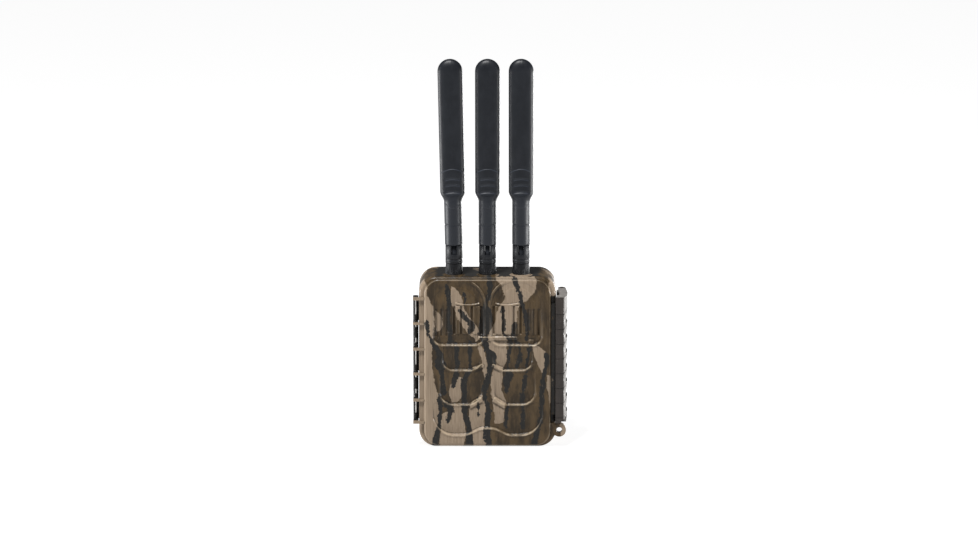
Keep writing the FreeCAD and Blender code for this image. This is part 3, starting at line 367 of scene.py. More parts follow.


def latch_plastic(name):
    """Dark brown moulding with pale scratches; its ribbed flank and upper end are painted pale as a painted
    reflection.
    """
    # the second colour is the pale grey of the scratches and of the painted reflection
    face, scuff_and_sheen = (0.0150, 0.0112, 0.0092), (0.155, 0.146, 0.137)
    g = Graph(name, face, 0.34, Specular_IOR_Level=0.30)
    cloud = g.noise((4.0, 2.0, 16.0), 4.0, 0.6)
    scratch = g.noise((0.5, 3.0, 5.0), 3.0, 0.7, (2.0, 9.0, 4.0))
    # painted reflection: the flank, more towards the door side, and the upper end
    towards_door = g.blend(g.smooth(g.y, -8.0, -27.0), 0.12, 1.0)
    flank = g.math("MULTIPLY", g.smooth(g.x, FLANK_X, FLANK_X + 0.5), towards_door)
    upper = g.smooth(g.z, LATCH_UPPER_END, LATCH_UPPER_END + 0.7)
    flank = g.math("MAXIMUM", flank, g.math("MULTIPLY", upper, g.smooth(g.y, 4.0, -4.0)))
    tone = g.mix(g.smooth(cloud, 0.3, 0.7), shade(face, 0.8), shade(face, 1.25))
    rub_and_sheen = g.mix(g.smooth(cloud, 0.3, 0.7), shade(scuff_and_sheen, 0.75), shade(scuff_and_sheen, 1.3))
    # painted reflection laid on the flank and upper end
    tone = g.mix(flank, tone, rub_and_sheen)
    tone = g.mix(g.math("MULTIPLY", g.smooth(scratch, 0.60, 0.72), 0.22), tone, scuff_and_sheen)
    g.set("Base Color", tone)
    g.set("Roughness", g.blend(cloud, 0.26, 0.44))
    g.bump(g.noise((0.5, 0.5, 0.5), 2.0, 0.6), 0.03, 0.6)
    return g.material


def whip_plastic(name):
    """Satin black plastic; the neck below the paddle is painted lighter as painted light, and the moulded
    lines are painted pale as painted highlight.
    """
    # the second colour is the neck's lighter grey, used as painted light on the neck and in the cloudy and
    # speckled tone
    paddle, neck = (0.0040, 0.0050, 0.0072), (0.0105, 0.0120, 0.0155)
    g = Graph(name, paddle, 0.40, Specular_IOR_Level=0.20)
    cloud = g.noise((9.0, 9.0, 12.0), 4.0, 0.6)
    skin = g.noise((0.35, 0.35, 0.35), 2.0, 0.6)
    # painted light: the neck made lighter than the paddle
    tone = g.mix(g.smooth(g.z, 199.0, 192.0), paddle, neck)
    tone = g.mix(g.math("MULTIPLY", g.smooth(cloud, 0.35, 0.7), 0.4), tone, neck)
    tone = g.mix(g.math("MULTIPLY", g.smooth(skin, 0.62, 0.72), 0.25), tone, shade(neck, 1.6))
    # painted highlight along the moulded lines
    g.set("Base Color", g.mix(g.math("MULTIPLY", g.attribute("sheen_shade_rub"), 0.8), tone, shade(neck, 3.2)))
    g.set("Roughness", g.blend(cloud, 0.36, 0.50))
    g.bump(skin, 0.03, 0.6)
    return g.material


def metal(name, color, rough=0.3, brush=(0.15, 0.15, 6.0), **extra):
    """Metal with fine drawn lines and a little tarnish."""
    g = Graph(name, color, rough, 1.0, **extra)
    lines = g.noise(brush, 3.0, 0.7)
    stain = g.noise((4.0, 4.0, 4.0), 4.0, 0.6)
    tone = g.mix(g.smooth(stain, 0.40, 0.72), color, shade(color, 0.62))
    g.set("Base Color", tone)
    brushed = g.blend(lines, rough - 0.10, rough + 0.12)
    g.set("Roughness", g.math("ADD", brushed, g.math("MULTIPLY", stain, 0.08)))
    g.bump(lines, 0.012, 0.5)
    return g.material


def glass(name, color, rough=0.05, alpha=0.3, **extra):
    """A clear or dark window with faint haze and dust."""
    g = Graph(name, color, rough, Alpha=alpha, **extra)
    dust = g.noise((2.2, 2.2, 2.2), 6.0, 0.7)
    g.set("Roughness", g.blend(g.smooth(dust, 0.45, 0.75), rough, rough + 0.16))
    g.bump(g.noise((14.0, 14.0, 14.0), 1.0, 0.5), 0.02, 0.25)
    return g.material


def rubber(name, color, rough=0.72):
    """Matt rubber with a faint pale bloom."""
    g = Graph(name, color, rough, Sheen_Weight=0.12)
    bloom = g.noise((3.0, 3.0, 3.0), 5.0, 0.65)
    g.set("Base Color", g.mix(g.smooth(bloom, 0.45, 0.75), color, shade(color, 1.7)))
    g.bump(g.noise((0.3, 0.3, 0.3), 2.0, 0.6), 0.03, 0.6)
    return g.material


def circuit_board(name):
    """Green solder mask over copper tracks, with tinned pads."""
    g = Graph(name, (0.01, 0.09, 0.04), 0.32, Coat_Weight=0.4)
    cell = g.tree.nodes.new("ShaderNodeTexVoronoi")
    cell.distance = "MANHATTAN"
    g.put(cell.inputs["Vector"], g.vector("MULTIPLY", g.p, (0.28, 0.28, 0.28)))
    cell.inputs["Scale"].default_value = 1.0
    distance = cell.outputs["Distance"]
    lane = g.math("FRACT", g.math("MULTIPLY", distance, 3.0))
    tracks = g.smooth(g.math("ABSOLUTE", g.math("SUBTRACT", lane, 0.5)), 0.20, 0.12)
    pads = g.smooth(distance, 0.16, 0.13)
    base = g.mix(tracks, (0.008, 0.060, 0.026), (0.020, 0.130, 0.050))
    g.set("Base Color", g.mix(pads, base, (0.55, 0.54, 0.50)))
    g.set("Roughness", g.blend(g.noise((2.0, 2.0, 2.0), 3.0), 0.22, 0.42))
    g.bump(g.math("ADD", tracks, pads), 0.04, 0.5)
    return g.material


COPPER_FROM, STEEL_FROM = 54.6, 66.1         # heights of the cell's copper band and bare end


def cell_sleeve(name):
    """Printed shrink sleeve: dark body, a copper band at the button end and bare steel past it."""
    g = Graph(name, (0.03, 0.03, 0.035), 0.34, Coat_Weight=0.3)
    band = g.smooth(g.z, COPPER_FROM, COPPER_FROM + 0.2)
    steel = g.smooth(g.z, STEEL_FROM, STEEL_FROM + 0.2)
    wrinkle = g.noise((2.0, 2.0, 18.0), 3.0, 0.6)
    dark = g.mix(g.smooth(wrinkle, 0.4, 0.7), (0.020, 0.021, 0.024), (0.040, 0.042, 0.047))
    copper = g.mix(g.smooth(wrinkle, 0.4, 0.7), (0.42, 0.17, 0.055), (0.52, 0.23, 0.08))
    tone = g.mix(band, dark, copper)
    g.set("Base Color", g.mix(steel, tone, (0.62, 0.62, 0.60)))
    g.set("Metallic", g.math("MAXIMUM", steel, g.math("MULTIPLY", band, 0.6)))
    g.set("Roughness", g.blend(wrinkle, 0.26, 0.42))
    g.bump(wrinkle, 0.03, 0.5)
    return g.material


def liquid_crystal(name):
    """Unlit grey-green display with its pixel grid."""
    g = Graph(name, (0.10, 0.12, 0.09), 0.30)
    cells = g.math("MULTIPLY", *(g.math("SINE", g.math("MULTIPLY", place, 18.0)) for place in (g.x, g.z)))
    haze = g.noise((14.0, 14.0, 9.0), 2.0, 0.5)
    tone = g.mix(g.smooth(haze, 0.3, 0.7), (0.085, 0.100, 0.075), (0.125, 0.145, 0.105))
    g.set("Base Color", g.mix(g.math("MULTIPLY", g.smooth(cells, 0.2, 0.9), 0.35), tone, (0.05, 0.06, 0.045)))
    g.set("Roughness", g.blend(haze, 0.24, 0.34))
    return g.material


PIR_Z = 33.0                          # height of the dome's axis


def fresnel_plastic(name):
    """Milky lens sheet, finely ringed about the dome's axis."""
    g = Graph(name, (0.50, 0.51, 0.48), 0.42, Subsurface_Weight=0.25, Subsurface_Scale=0.002)
    dz = g.math("SUBTRACT", g.z, PIR_Z)
    radius = g.math("SQRT", g.math("MULTIPLY_ADD", g.x, g.x, g.math("MULTIPLY", dz, dz)))
    rings = g.math("SINE", g.math("MULTIPLY", radius, 9.0))
    cloud = g.noise((5.0, 5.0, 5.0), 3.0, 0.6)
    g.set("Base Color", g.mix(g.smooth(cloud, 0.3, 0.7), (0.42, 0.43, 0.40), (0.54, 0.55, 0.52)))
    g.set("Roughness", g.blend(cloud, 0.34, 0.50))
    g.bump(rings, 0.05, 0.5)
    return g.material


def lamp_epoxy(name):
    """Smoky lamp, darker towards its foot."""
    g = Graph(name, (0.10, 0.07, 0.10), 0.12, Coat_Weight=0.5)
    g.set("Base Color", g.mix(g.smooth(g.y, 22.0, 25.0), (0.05, 0.04, 0.05), (0.20, 0.14, 0.19)))
    g.set("Roughness", g.blend(g.noise((1.0, 1.0, 1.0), 2.0), 0.08, 0.18))
    return g.material


FINISHES = {
    "housing_camo": lambda n: camo(n, 0.52),
    "door_camo": lambda n: camo(n, 0.44),
    "latch_plastic": latch_plastic,
    "whip_plastic": whip_plastic,
    "swivel_plastic": lambda n: plastic(n, (0.0062, 0.0068, 0.0086), 0.42, 0.35, 0.03, 1.15,
                                        Specular_IOR_Level=0.20),
    "collar_metal": lambda n: plastic(n, (0.0045, 0.0047, 0.0056), 0.52, 0.3, 0.02, 1.2,
                                      Specular_IOR_Level=0.14),
    "jack_brass": lambda n: metal(n, (0.70, 0.50, 0.22), 0.25),
    "steel": lambda n: metal(n, (0.56, 0.55, 0.53), 0.30),
    "insert_brass": lambda n: metal(n, (0.62, 0.45, 0.20), 0.28),
    "copper": lambda n: metal(n, (0.72, 0.36, 0.20), 0.30),
    "seal_rubber": lambda n: rubber(n, (0.016, 0.016, 0.016)),
    "bezel_black": lambda n: plastic(n, (0.0085, 0.0085, 0.0090), 0.50, 0.45, 0.05, 1.25,
                                     Specular_IOR_Level=0.25),
    "ir_glass": lambda n: glass(n, (0.010, 0.004, 0.006), 0.05, 0.62),
    "clear_glass": lambda n: glass(n, (0.020, 0.026, 0.034), 0.03, 0.30),
    "pir_plastic": fresnel_plastic,
    "lamp": lamp_epoxy,
    "board_green": circuit_board,
    "dark_part": lambda n: plastic(n, (0.014, 0.014, 0.016), 0.38, 0.3, 0.02, 1.2),
    "can": lambda n: metal(n, (0.60, 0.61, 0.62), 0.34, (3.0, 0.15, 0.15)),
    "coax": lambda n: rubber(n, (0.022, 0.022, 0.023), 0.55),
    "fascia_grey": lambda n: plastic(n, (0.030, 0.032, 0.033), 0.58, 0.5, 0.05, 1.2),
    "button_rubber": lambda n: rubber(n, (0.085, 0.088, 0.090), 0.66),
    "switch_plastic": lambda n: plastic(n, (0.60, 0.19, 0.03), 0.42, 0.4, 0.03, 1.1),
    "card_plastic": lambda n: plastic(n, (0.012, 0.020, 0.055), 0.36, 0.4, 0.02, 1.15),
    "sim_plastic": lambda n: plastic(n, (0.62, 0.58, 0.47), 0.40, 0.4, 0.02, 1.05),
    "cell": cell_sleeve,
    "contact": lambda n: metal(n, (0.66, 0.65, 0.61), 0.24),
}
MATERIALS = {slot: make(slot) for slot, make in FINISHES.items()}
MATERIALS["display"] = liquid_crystal("display")
for part in frame["record"]["subparts"]:
    finish = "display" if part["node"] == "display_panel" else part["material_slot"]
    for slot in NODES[part["node"]].material_slots:
        slot.material = MATERIALS[finish]


# ---- mesh helpers --------------------------------------------------------------------------------------
def add_mesh(name, vertices, faces, body, finish):
    """A new piece from points in mm, riding on body."""
    mesh = bpy.data.meshes.new(name)
    mesh.from_pydata((np.asarray(vertices, float) * MM).tolist(), [], faces)
    mesh.shade_smooth()
    mesh.validate()
    obj = bpy.data.objects.new(name, mesh)
    bpy.context.scene.collection.objects.link(obj)
    mesh.materials.append(MATERIALS[finish])
    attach(obj, body)
    return obj


def set_sheen_shade_rub(obj, values):
    """Give each vertex how much painted highlight and rubbing it carries; below 0, how much painted shade."""
    obj.data.attributes.new("sheen_shade_rub", "FLOAT", "POINT").data.foreach_set("value", values)


def grid_faces(rows, cols, start=0, wrap=False):
    """Quads over a rows x cols grid of points; wrap closes each row on itself."""
    faces = []
    for r in range(rows - 1):
        for c in range(cols if wrap else cols - 1):
            a, b = start + r * cols + c, start + r * cols + (c + 1) % cols
            faces.append((a, b, b + cols, a + cols))
    return faces


def grid_rim(rows, cols):
    """The points round the edge of a rows x cols grid, in order."""
    rim = list(range(cols)) + [r * cols + cols - 1 for r in range(1, rows)]
    rim += [(rows - 1) * cols + c for c in range(cols - 2, -1, -1)]
    return rim + [r * cols for r in range(rows - 2, 0, -1)]


def tube_faces(rows, around, start=0):
    """Quads over closed rings of points, with a flat face over each end."""
    faces = grid_faces(rows, around, start, wrap=True)
    faces.append(tuple(start + k for k in reversed(range(around))))
    faces.append(tuple(start + (rows - 1) * around + k for k in range(around)))
    return faces


def smoothstep(value, low, high):
    """0 up to low, 1 from high, smooth between."""
    t = np.clip((value - low) / (high - low), 0.0, 1.0)
    return t * t * (3 - 2 * t)


def rounded_box(x, z, centre, half, radii):
    """Signed distance to a rectangle whose bottom and top corners have their own radii."""
    dx, dz = np.abs(x - centre[0]), z - centre[1]
    r = np.where(dz < 0, radii[0], radii[1])
    qx, qz = dx - half[0] + r, np.abs(dz) - half[1] + r
    outside = np.hypot(np.maximum(qx, 0), np.maximum(qz, 0))
    return outside + np.minimum(np.maximum(qx, qz), 0) - r


# ---- door relief ---------------------------------------------------------------------------------------
DOOR_HALF, DOOR_MID_Z, DOOR_CORNER = (49.5, 66.2), 67.5, 12.0
PANEL_BACK_Y, PANEL_FACE_Y, PANEL_FRONT_Y = -28.8, -30.72, -31.42    # back, main plane and furthest forward
PANEL_GRID = (381, 301)               # points up and across
EDGE_ROLL = 2.7                       # radius of the rounding round the panel's edge
RELIEF_INSET = (1.4, 3.4)             # the relief fades in between these distances from the edge
LOBES = (  # x span from the middle line, z span, bottom and top corner radius, scoop depth, rim height
    ((3.2, 42.2), (82.0, 131.8), (7.0, 19.4), 1.55, 0.50),
    ((5.4, 34.8), (62.0, 83.2), (8.0, 3.0), 1.65, 0.50),
    ((4.6, 37.0), (34.8, 62.8), (10.0, 3.0), 1.70, 0.50),
    ((-14.0, 42.6), (10.4, 35.6), (17.0, 3.0), 1.70, 0.50),
)
BASIN_RISE = 5.4                      # how much higher the lowest scoop's edge is at the middle line
FLOOR_RISE = 0.30                     # how much a scoop's floor comes up away from its edge
ARC_ABOVE, ARC_SPREAD, ARC_IN = (84.0, 90.0), (24.0, 30.0), 9.6      # the line inside each upper scoop
ARC_STEP, ARC_HEIGHT = 0.30, 0.34
SHOULDER_ABOVE, SHOULDER_SPAN = (108.0, 116.0), (9.0, 16.0)          # the broad rim at the top of the middle
SHOULDER_HEIGHT = 0.70
LEDGES = (  # centre, half size, tilt in degrees, height; mirrored to the other side unless single
    ((8.0, 86.6), (15.4, 1.6), 0.0, 0.95, True), ((7.6, 63.8), (4.6, 1.4), -20.0, 0.95, False),
    ((9.6, 35.6), (5.8, 2.1), -32.0, 1.10, False), ((34.3, 84.0), (2.2, 1.8), 0.0, 0.80, True),
)
BAR_GROOVES, BARS_Z = (5.1, 12.2, 20.6, 25.6), (90.2, 112.4)         # x of the grooves between upright bars
BAR_HEIGHT, BAR_GROOVE_DEPTH = 0.65, 1.25
SIDE_GROOVES, SIDE_GROOVES_Z, SIDE_GROOVE_DEPTH = (31.8, 35.9, 40.0), (88.6, 110.0), 0.8
CAP_Z, CAP_MIDDLE, CAP_SPAN, CAP_HEIGHT = 113.2, 15.0, (6.0, 25.0), 0.90      # the curved ledge over the bars
BARK_DEPTH = 0.05


def grooves(side, places, half):
    """Upright grooves at the places given, from 0 between them to 1 in their floors."""
    return sum(np.exp(-(np.abs(side - place) / half) ** 3) for place in places)


def between(value, low, high, edge):
    """1 between low and high and 0 outside, over edge mm."""
    return smoothstep(value, low - edge, low + edge) * smoothstep(-value, -high - edge, -high + edge)


def relief_height(x, z):
    """How far the moulded face stands out (+) or in (-) from its plane, mm."""
    side = np.abs(x)
    h = np.zeros_like(x)
    for number, ((x0, x1), (z0, z1), radii, depth, rim) in enumerate(LOBES):
        lowest = number == len(LOBES) - 1
        up = z - BASIN_RISE * smoothstep(-side, -19.0, -3.0) * smoothstep(-z, -30.0, -20.0) if lowest else z
        d = rounded_box(side, up, ((x0 + x1) / 2, (z0 + z1) / 2), ((x1 - x0) / 2, (z1 - z0) / 2), radii)
        down = np.clip((z1 - up) / (z1 - z0), 0.0, 1.0)
        inner = smoothstep(-side, -x0 - 6.0, -x0 - 1.0)
        wall = 0.45 + 0.75 * down ** 2 + 1.8 * inner * (1 - down)
        inside = smoothstep(-d, -wall, wall)
        h -= inside * depth * (0.16 + 0.84 * down ** 1.3)
        h += rim * down ** 2 * np.exp(-((d - 1.3) / 0.9) ** 2)
        h += FLOOR_RISE * inside * smoothstep(-d, 1.5, 8.0)
        if number == 0:
            upper = smoothstep(z, *ARC_ABOVE)
            h += ARC_STEP * upper * smoothstep(-d, 4.2, 5.4)
            arc = np.exp(-((d + ARC_IN) / 0.7) ** 2)
            h += ARC_HEIGHT * upper * smoothstep(side, *ARC_SPREAD) * arc
            near, far = SHOULDER_SPAN
            shoulder = smoothstep(z, *SHOULDER_ABOVE) * smoothstep(-side, -far, -near)
            h += SHOULDER_HEIGHT * shoulder * smoothstep(-np.abs(d - 1.6), -1.3, -0.5)
    bars = between(z, *BARS_Z, 0.5)
    h += bars * between(side, BAR_GROOVES[0], BAR_GROOVES[-1], 0.6) * BAR_HEIGHT
    h -= bars * grooves(side, BAR_GROOVES, 0.95) * BAR_GROOVE_DEPTH
    h -= between(z, *SIDE_GROOVES_Z, 0.9) * grooves(side, SIDE_GROOVES, 1.05) * SIDE_GROOVE_DEPTH
    cap = z - (CAP_Z + 1.2 * ((side - CAP_MIDDLE) / 9.0) ** 2)
    h += CAP_HEIGHT * between(side, *CAP_SPAN, 0.7) * np.exp(-(cap / 0.8) ** 2)
    for (cx, cz), half, tilt, height, single in LEDGES:
        for sign in ((1,) if single else (1, -1)):
            a = math.radians(tilt * sign)
            dx, dz = x - sign * cx, z - cz
            u = dx * math.cos(a) + dz * math.sin(a)
            w = dz * math.cos(a) - dx * math.sin(a)
            h += height * smoothstep(-rounded_box(u, w, (0.0, 0.0), half, (1.0, 1.0)), -0.5, 0.7)
    bark = np.sin(side * 1.9 + 1.7 * np.sin(z * 0.11) + 0.8 * np.sin(z * 0.29 + x))
    return h + BARK_DEPTH * bark


def edge_sheen_shade_rub(height, z, inset, spread=3):
    """Painted highlight with some rubbing towards 1 on ridges, on ledges that face up and along the rolled
    edge; painted shade towards -1 in hollows and under edges.
    """
    around = np.zeros_like(height)
    steps = [(r, c) for r in (-spread, 0, spread) for c in (-spread, 0, spread) if r or c]
    for r, c in steps:
        around += np.roll(height, (r, c), (0, 1))
    lift = height - around / len(steps)
    lift[:spread], lift[-spread:], lift[:, :spread], lift[:, -spread:] = 0, 0, 0, 0
    slope = -np.gradient(height, z, axis=0)
    # painted highlight on slopes that face up, some rubbing on ridges
    rub_and_sheen = np.maximum(smoothstep(slope, 0.12, 1.1), 0.25 * smoothstep(lift, 0.10, 0.30))
    # painted highlight line along the panel's rolled edge
    rub_and_sheen = np.maximum(rub_and_sheen, 0.42 * np.exp(-((inset - EDGE_ROLL / 3) / 0.50) ** 2))
    # painted shade in hollows and under edges that face down
    painted_shade = np.maximum(smoothstep(-lift, 0.03, 0.30), 0.8 * smoothstep(-slope, 0.25, 1.2))
    return rub_and_sheen - painted_shade


def crowded(count):
    """Places from -1 to 1, closer together towards the ends."""
    even = np.linspace(-1, 1, count)
    return 0.72 * even + 0.28 * np.sin(even * HALF_PI)


def build_door_relief():
    """The camouflaged face panel: one closed mesh with the lobes, bars and ledges moulded into its front."""
    rows, cols = PANEL_GRID
    across, up = crowded(cols), crowded(rows)
    z = DOOR_MID_Z + DOOR_HALF[1] * up
    corner = np.clip(np.abs(z - DOOR_MID_Z) - (DOOR_HALF[1] - DOOR_CORNER), 0, DOOR_CORNER)
    reach = DOOR_HALF[0] - DOOR_CORNER + np.sqrt(DOOR_CORNER ** 2 - corner ** 2)
    x, z = across[None, :] * reach[:, None], np.repeat(z[:, None], cols, 1)
    inset = -rounded_box(x, z, (0.0, DOOR_MID_Z), DOOR_HALF, (DOOR_CORNER, DOOR_CORNER))
    roll = np.sqrt(np.clip(1 - (1 - np.clip(inset / EDGE_ROLL, 0, 1)) ** 2, 0, 1))
    height = relief_height(x, z) * smoothstep(inset, *RELIEF_INSET)
    face = PANEL_FACE_Y - height
    y = PANEL_BACK_Y + (face - PANEL_BACK_Y) * roll
    y = np.clip(y, PANEL_FRONT_Y, PANEL_BACK_Y)
    points = np.stack([x, y, z], -1).reshape(-1, 3)
    faces = grid_faces(rows, cols)
    faces.append(tuple(reversed(grid_rim(rows, cols))))
    obj = add_mesh("door_relief", points, faces, "door", "door_camo")
    set_sheen_shade_rub(obj, edge_sheen_shade_rub(height, z[:, 0], inset).astype(np.float32).ravel())
    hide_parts("door_face_panel")


# ---- antennas ------------------------------------------------------------------------------------------
LEFT_LEAN = -1.2                      # degrees
ANTENNAS = {"left": (-ANTENNA_PITCH, LEFT_LEAN), "middle": (0.0, 0.0), "right": (ANTENNA_PITCH, 0.0)}
PIVOT_Z = 151.7
WHIP_BOTTOM, SHOULDER, WHIP_TOP = 159.0, (193.0, 200.8), 304.75
TONGUE_R, TONGUE_HALF, TONGUE_EDGE = 4.65, 1.98, 0.3
NECK_GROOVE, NECK_GROOVE_DEPTH = 175.0, 0.3
NECK_R, PADDLE_HALF, PADDLE_DEPTH = 6.9, (9.65, 9.7), (5.45, 5.0)
GRIP_LINES, GRIP_DROP = (211.4, 206.6, 201.0), 2.2    # heights of the grip grooves, and how much they arch
GRIP_DEPTH, ARCH_STEP, APRON_STEP, SPINE_HEIGHT = 0.34, 0.36, 0.38, 0.10
LINES_HALF = 9.4                      # half width that the drops below are given for
ARCH_Z, ARCH_DROP = 219.0, 3.8        # the arched edge over them, and how much lower its ends are
APRON_Z, APRON_RISE = 188.5, 5.5      # the rounded edge below the paddle, and how much higher its ends are
SPINE_X, SPINE_FROM = 0.9, 220.0      # the faint ridge up the paddle


def whip_sections():
    """Height, half width, half depth and squareness of each section from the neck to the round head."""
    head_r = PADDLE_HALF[1]
    head_z = WHIP_TOP - head_r
    heights = [WHIP_BOTTOM, WHIP_BOTTOM + 0.5] + list(np.linspace(WHIP_BOTTOM + 1.0, 186.0, 54))
    heights += list(np.linspace(186.5, 224.0, 140))
    heights += list(np.linspace(225.0, head_z, 40))
    heights += [head_z + head_r * math.sin(a) for a in np.linspace(0.03, HALF_PI - 0.02, 28)]
    rows = []
    for z in heights:
        wide = float(smoothstep(np.float64(z), *SHOULDER))
        paddle_w = np.interp(z, (SHOULDER[1], head_z), PADDLE_HALF)
        paddle_d = np.interp(z, (SHOULDER[1], head_z), PADDLE_DEPTH)
        w = NECK_R + (paddle_w - NECK_R) * wide
        d = NECK_R + (paddle_d - NECK_R) * float(smoothstep(np.float64(z), SHOULDER[0] - 2, SHOULDER[1] + 3))
        if z > head_z:
            fall = math.sqrt(max(0.0, 1 - ((z - head_z) / head_r) ** 2))
            w, d = w * fall, d * fall ** 0.75
        if z < WHIP_BOTTOM + 0.4:
            w, d = w - 0.2, d - 0.2
        ring = NECK_GROOVE_DEPTH * math.exp(-((z - NECK_GROOVE) / 0.45) ** 2)
        w, d = w - ring, d - ring
        rows.append((z, w, d, 2.0 + 0.45 * wide))
    return rows


def whip_detail(x, z):
    """Grip grooves, the arched edge over them, the apron below and the faint ridge above, mm along Y."""
    across = (x / LINES_HALF) ** 2
    arch = z - (ARCH_Z - ARCH_DROP * across)
    out = ARCH_STEP * smoothstep(-arch, -0.40, 0.40) * smoothstep(z, 194.0, 199.0)
    for line in GRIP_LINES:
        bend = z - (line - GRIP_DROP * across)
        out -= GRIP_DEPTH * np.exp(-(bend / 0.65) ** 2) * smoothstep(-np.abs(x), -7.0, -5.0)
    apron = z - (APRON_Z + APRON_RISE * (np.abs(x) / NECK_R) ** 2.5)
    out += APRON_STEP * smoothstep(apron, -0.35, 0.45) * smoothstep(-z, -202.0, -197.0)
    spine = np.exp(-((x - SPINE_X) / 0.35) ** 2)
    return out + SPINE_HEIGHT * spine * smoothstep(z, SPINE_FROM, SPINE_FROM + 4.0)


def whip_line_sheen(x, z, step=0.2):
    """Painted highlight on the paddle's moulded lines: most where they face up, less where they face down."""
    fall = (whip_detail(x, np.float64(z - step)) - whip_detail(x, np.float64(z + step))) / (2 * step)
    return np.clip(np.maximum(fall, -0.7 * fall), 0.0, 1.0)


def build_whip(side):
    """One whip: a lofted body over an upright tongue that sits in the fork."""
    x0, lean = ANTENNAS[side]
    around = 96
    angle = np.linspace(0, 2 * math.pi, around, endpoint=False)
    points, line_sheen = [], []
    for z, w, d, square in whip_sections():
        c, s = np.cos(angle), np.sin(angle)
        x = w * np.sign(c) * np.abs(c) ** (2 / square)
        y = d * np.sign(s) * np.abs(s) ** (2 / square)
        facing = smoothstep(np.abs(s), 0.15, 0.55)
        y = y + np.sign(s) * facing * whip_detail(x, np.float64(z))
        points += [(x0 + a, ANTENNA_Y + b, z) for a, b in zip(x, y)]
        # painted highlight on the moulded lines
        line_sheen += list(facing * whip_line_sheen(x, z))
    pivot = Vector((x0, ANTENNA_Y, PIVOT_Z))
    turn = Matrix.Rotation(math.radians(lean), 4, "Y")
    leaned = Matrix.Translation(pivot) @ turn @ Matrix.Translation(-pivot)
    points = [tuple(leaned @ Vector(p)) for p in points]
    faces = tube_faces(len(points) // around, around)
    arc = np.linspace(0.0, -math.pi, 40)
    profile = [(TONGUE_R, WHIP_BOTTOM + 2)]
    profile += [(TONGUE_R * math.cos(a), PIVOT_Z + TONGUE_R * math.sin(a)) for a in arc]
    profile.append((-TONGUE_R, WHIP_BOTTOM + 2))
    inner = TONGUE_HALF - TONGUE_EDGE
    layers = ((-TONGUE_HALF, TONGUE_EDGE), (-inner, 0.0), (inner, 0.0), (TONGUE_HALF, TONGUE_EDGE))
    start = len(points)
    for dx, shrink in layers:
        k = 1 - shrink / TONGUE_R
        points += [(x0 + dx, ANTENNA_Y + a * k, PIVOT_Z + (b - PIVOT_Z) * k) for a, b in profile]
    faces += tube_faces(len(layers), len(profile), start)
    obj = add_mesh(f"whip_{side}", points, faces, f"antenna_{side}_whip", "whip_plastic")
    set_sheen_shade_rub(obj, line_sheen + [0.0] * (len(points) - len(line_sheen)))
    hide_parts(f"antenna_{side}_whip")


# ---- motion sensor dome --------------------------------------------------------------------------------
PIR_LOW, PIR_HIGH = (np.array(corner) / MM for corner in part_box("pir_lens"))
PIR_RIM_R = (PIR_HIGH[0] - PIR_LOW[0]) / 2
PIR_BALL_R, PIR_WALL, PIR_RIM_THICK = 14.5, 1.0, 1.2
PIR_SKIN = 0.35                       # how far the dome is sunk, to leave room for its cells
PIR_DOME_R, PIR_BORE_R = 12.2, 11.2   # where the dome meets the rim, outside and inside
PIR_RINGS = ((4.2, 1), (8.4, 6), (12.0, 10))          # outer radius of each ring of lens cells, and its cells
PIR_CELL_BULGE, PIR_RIPPLE = 0.22, 0.07               # how far a cell stands out of its seams, and its rings


def build_pir_dome():
    """Domed sheet of small ringed lens cells with seams between them, on a flat rim."""
    middle_z = (PIR_LOW[2] + PIR_HIGH[2]) / 2
    centre_y = PIR_HIGH[1] - PIR_BALL_R
    rim_y = PIR_LOW[1] + PIR_RIM_THICK
    around = 120
    radii = np.concatenate([np.linspace(0.02, 12.1, 62), (12.35, PIR_RIM_R - 0.3, PIR_RIM_R)])
    angle = np.linspace(0, 2 * math.pi, around, endpoint=False)
    points = []
    for r in radii:
        y = np.full(around, centre_y + math.sqrt(PIR_BALL_R ** 2 - min(r, PIR_DOME_R) ** 2) - PIR_SKIN)
        inner = 0.0
        for outer, cells in PIR_RINGS:
            if inner <= r < outer:
                seam = np.abs((angle * cells / (2 * math.pi) + 0.5) % 1.0 - 0.5) * 2 * math.pi * r / cells
                edge = np.minimum(seam if cells > 1 else 9.0, outer - r)
                y = y + PIR_CELL_BULGE * (1 - np.exp(-(edge / 0.35) ** 2)) + PIR_RIPPLE * math.sin(r * 5.2)
            inner = outer
        if r > PIR_DOME_R:
            y = np.full(around, rim_y - (0.3 if r == PIR_RIM_R else 0.0))
        points += [(r * math.cos(a), b, middle_z + r * math.sin(a)) for a, b in zip(angle, y)]
    for r in radii[::-1]:
        depth = PIR_LOW[1]
        if r <= PIR_BORE_R:
            depth = centre_y + math.sqrt((PIR_BALL_R - PIR_WALL) ** 2 - r ** 2) - PIR_SKIN
        points += [(r * math.cos(a), depth, middle_z + r * math.sin(a)) for a in angle]
    obj = add_mesh("pir_dome", points, tube_faces(len(points) // around, around), "housing", "pir_plastic")
    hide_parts("pir_lens")


# ---- softened edges on CAD parts -----------------------------------------------------------------------
def soften(node, width_mm, segments=2, angle=32.0):
    """A small rounding on the sharp edges of a CAD part, as moulding leaves."""
    obj = NODES[node]
    weld = obj.modifiers.new("weld", "WELD")
    weld.merge_threshold = 2e-6
    bevel = obj.modifiers.new("edge", "BEVEL")
    bevel.width = width_mm * MM
    bevel.segments = segments
    bevel.limit_method = "ANGLE"
    bevel.angle_limit = math.radians(angle)
    bevel.harden_normals = True


SOFTENED = {  # node and width of its rounding, mm
    "latch_lever": 0.35, "door_hinge_leaf": 0.30, "rear_door": 0.30, "housing_rim": 0.20,
    "control_fascia": 0.25, "antenna_left_base": 0.30, "antenna_middle_base": 0.30,
    "antenna_right_base": 0.30, "power_switch_knob": 0.20, "dc_port_plug": 0.30, "battery_holder": 0.30,
    "sd_card": 0.20, "sim_card": 0.12,
}


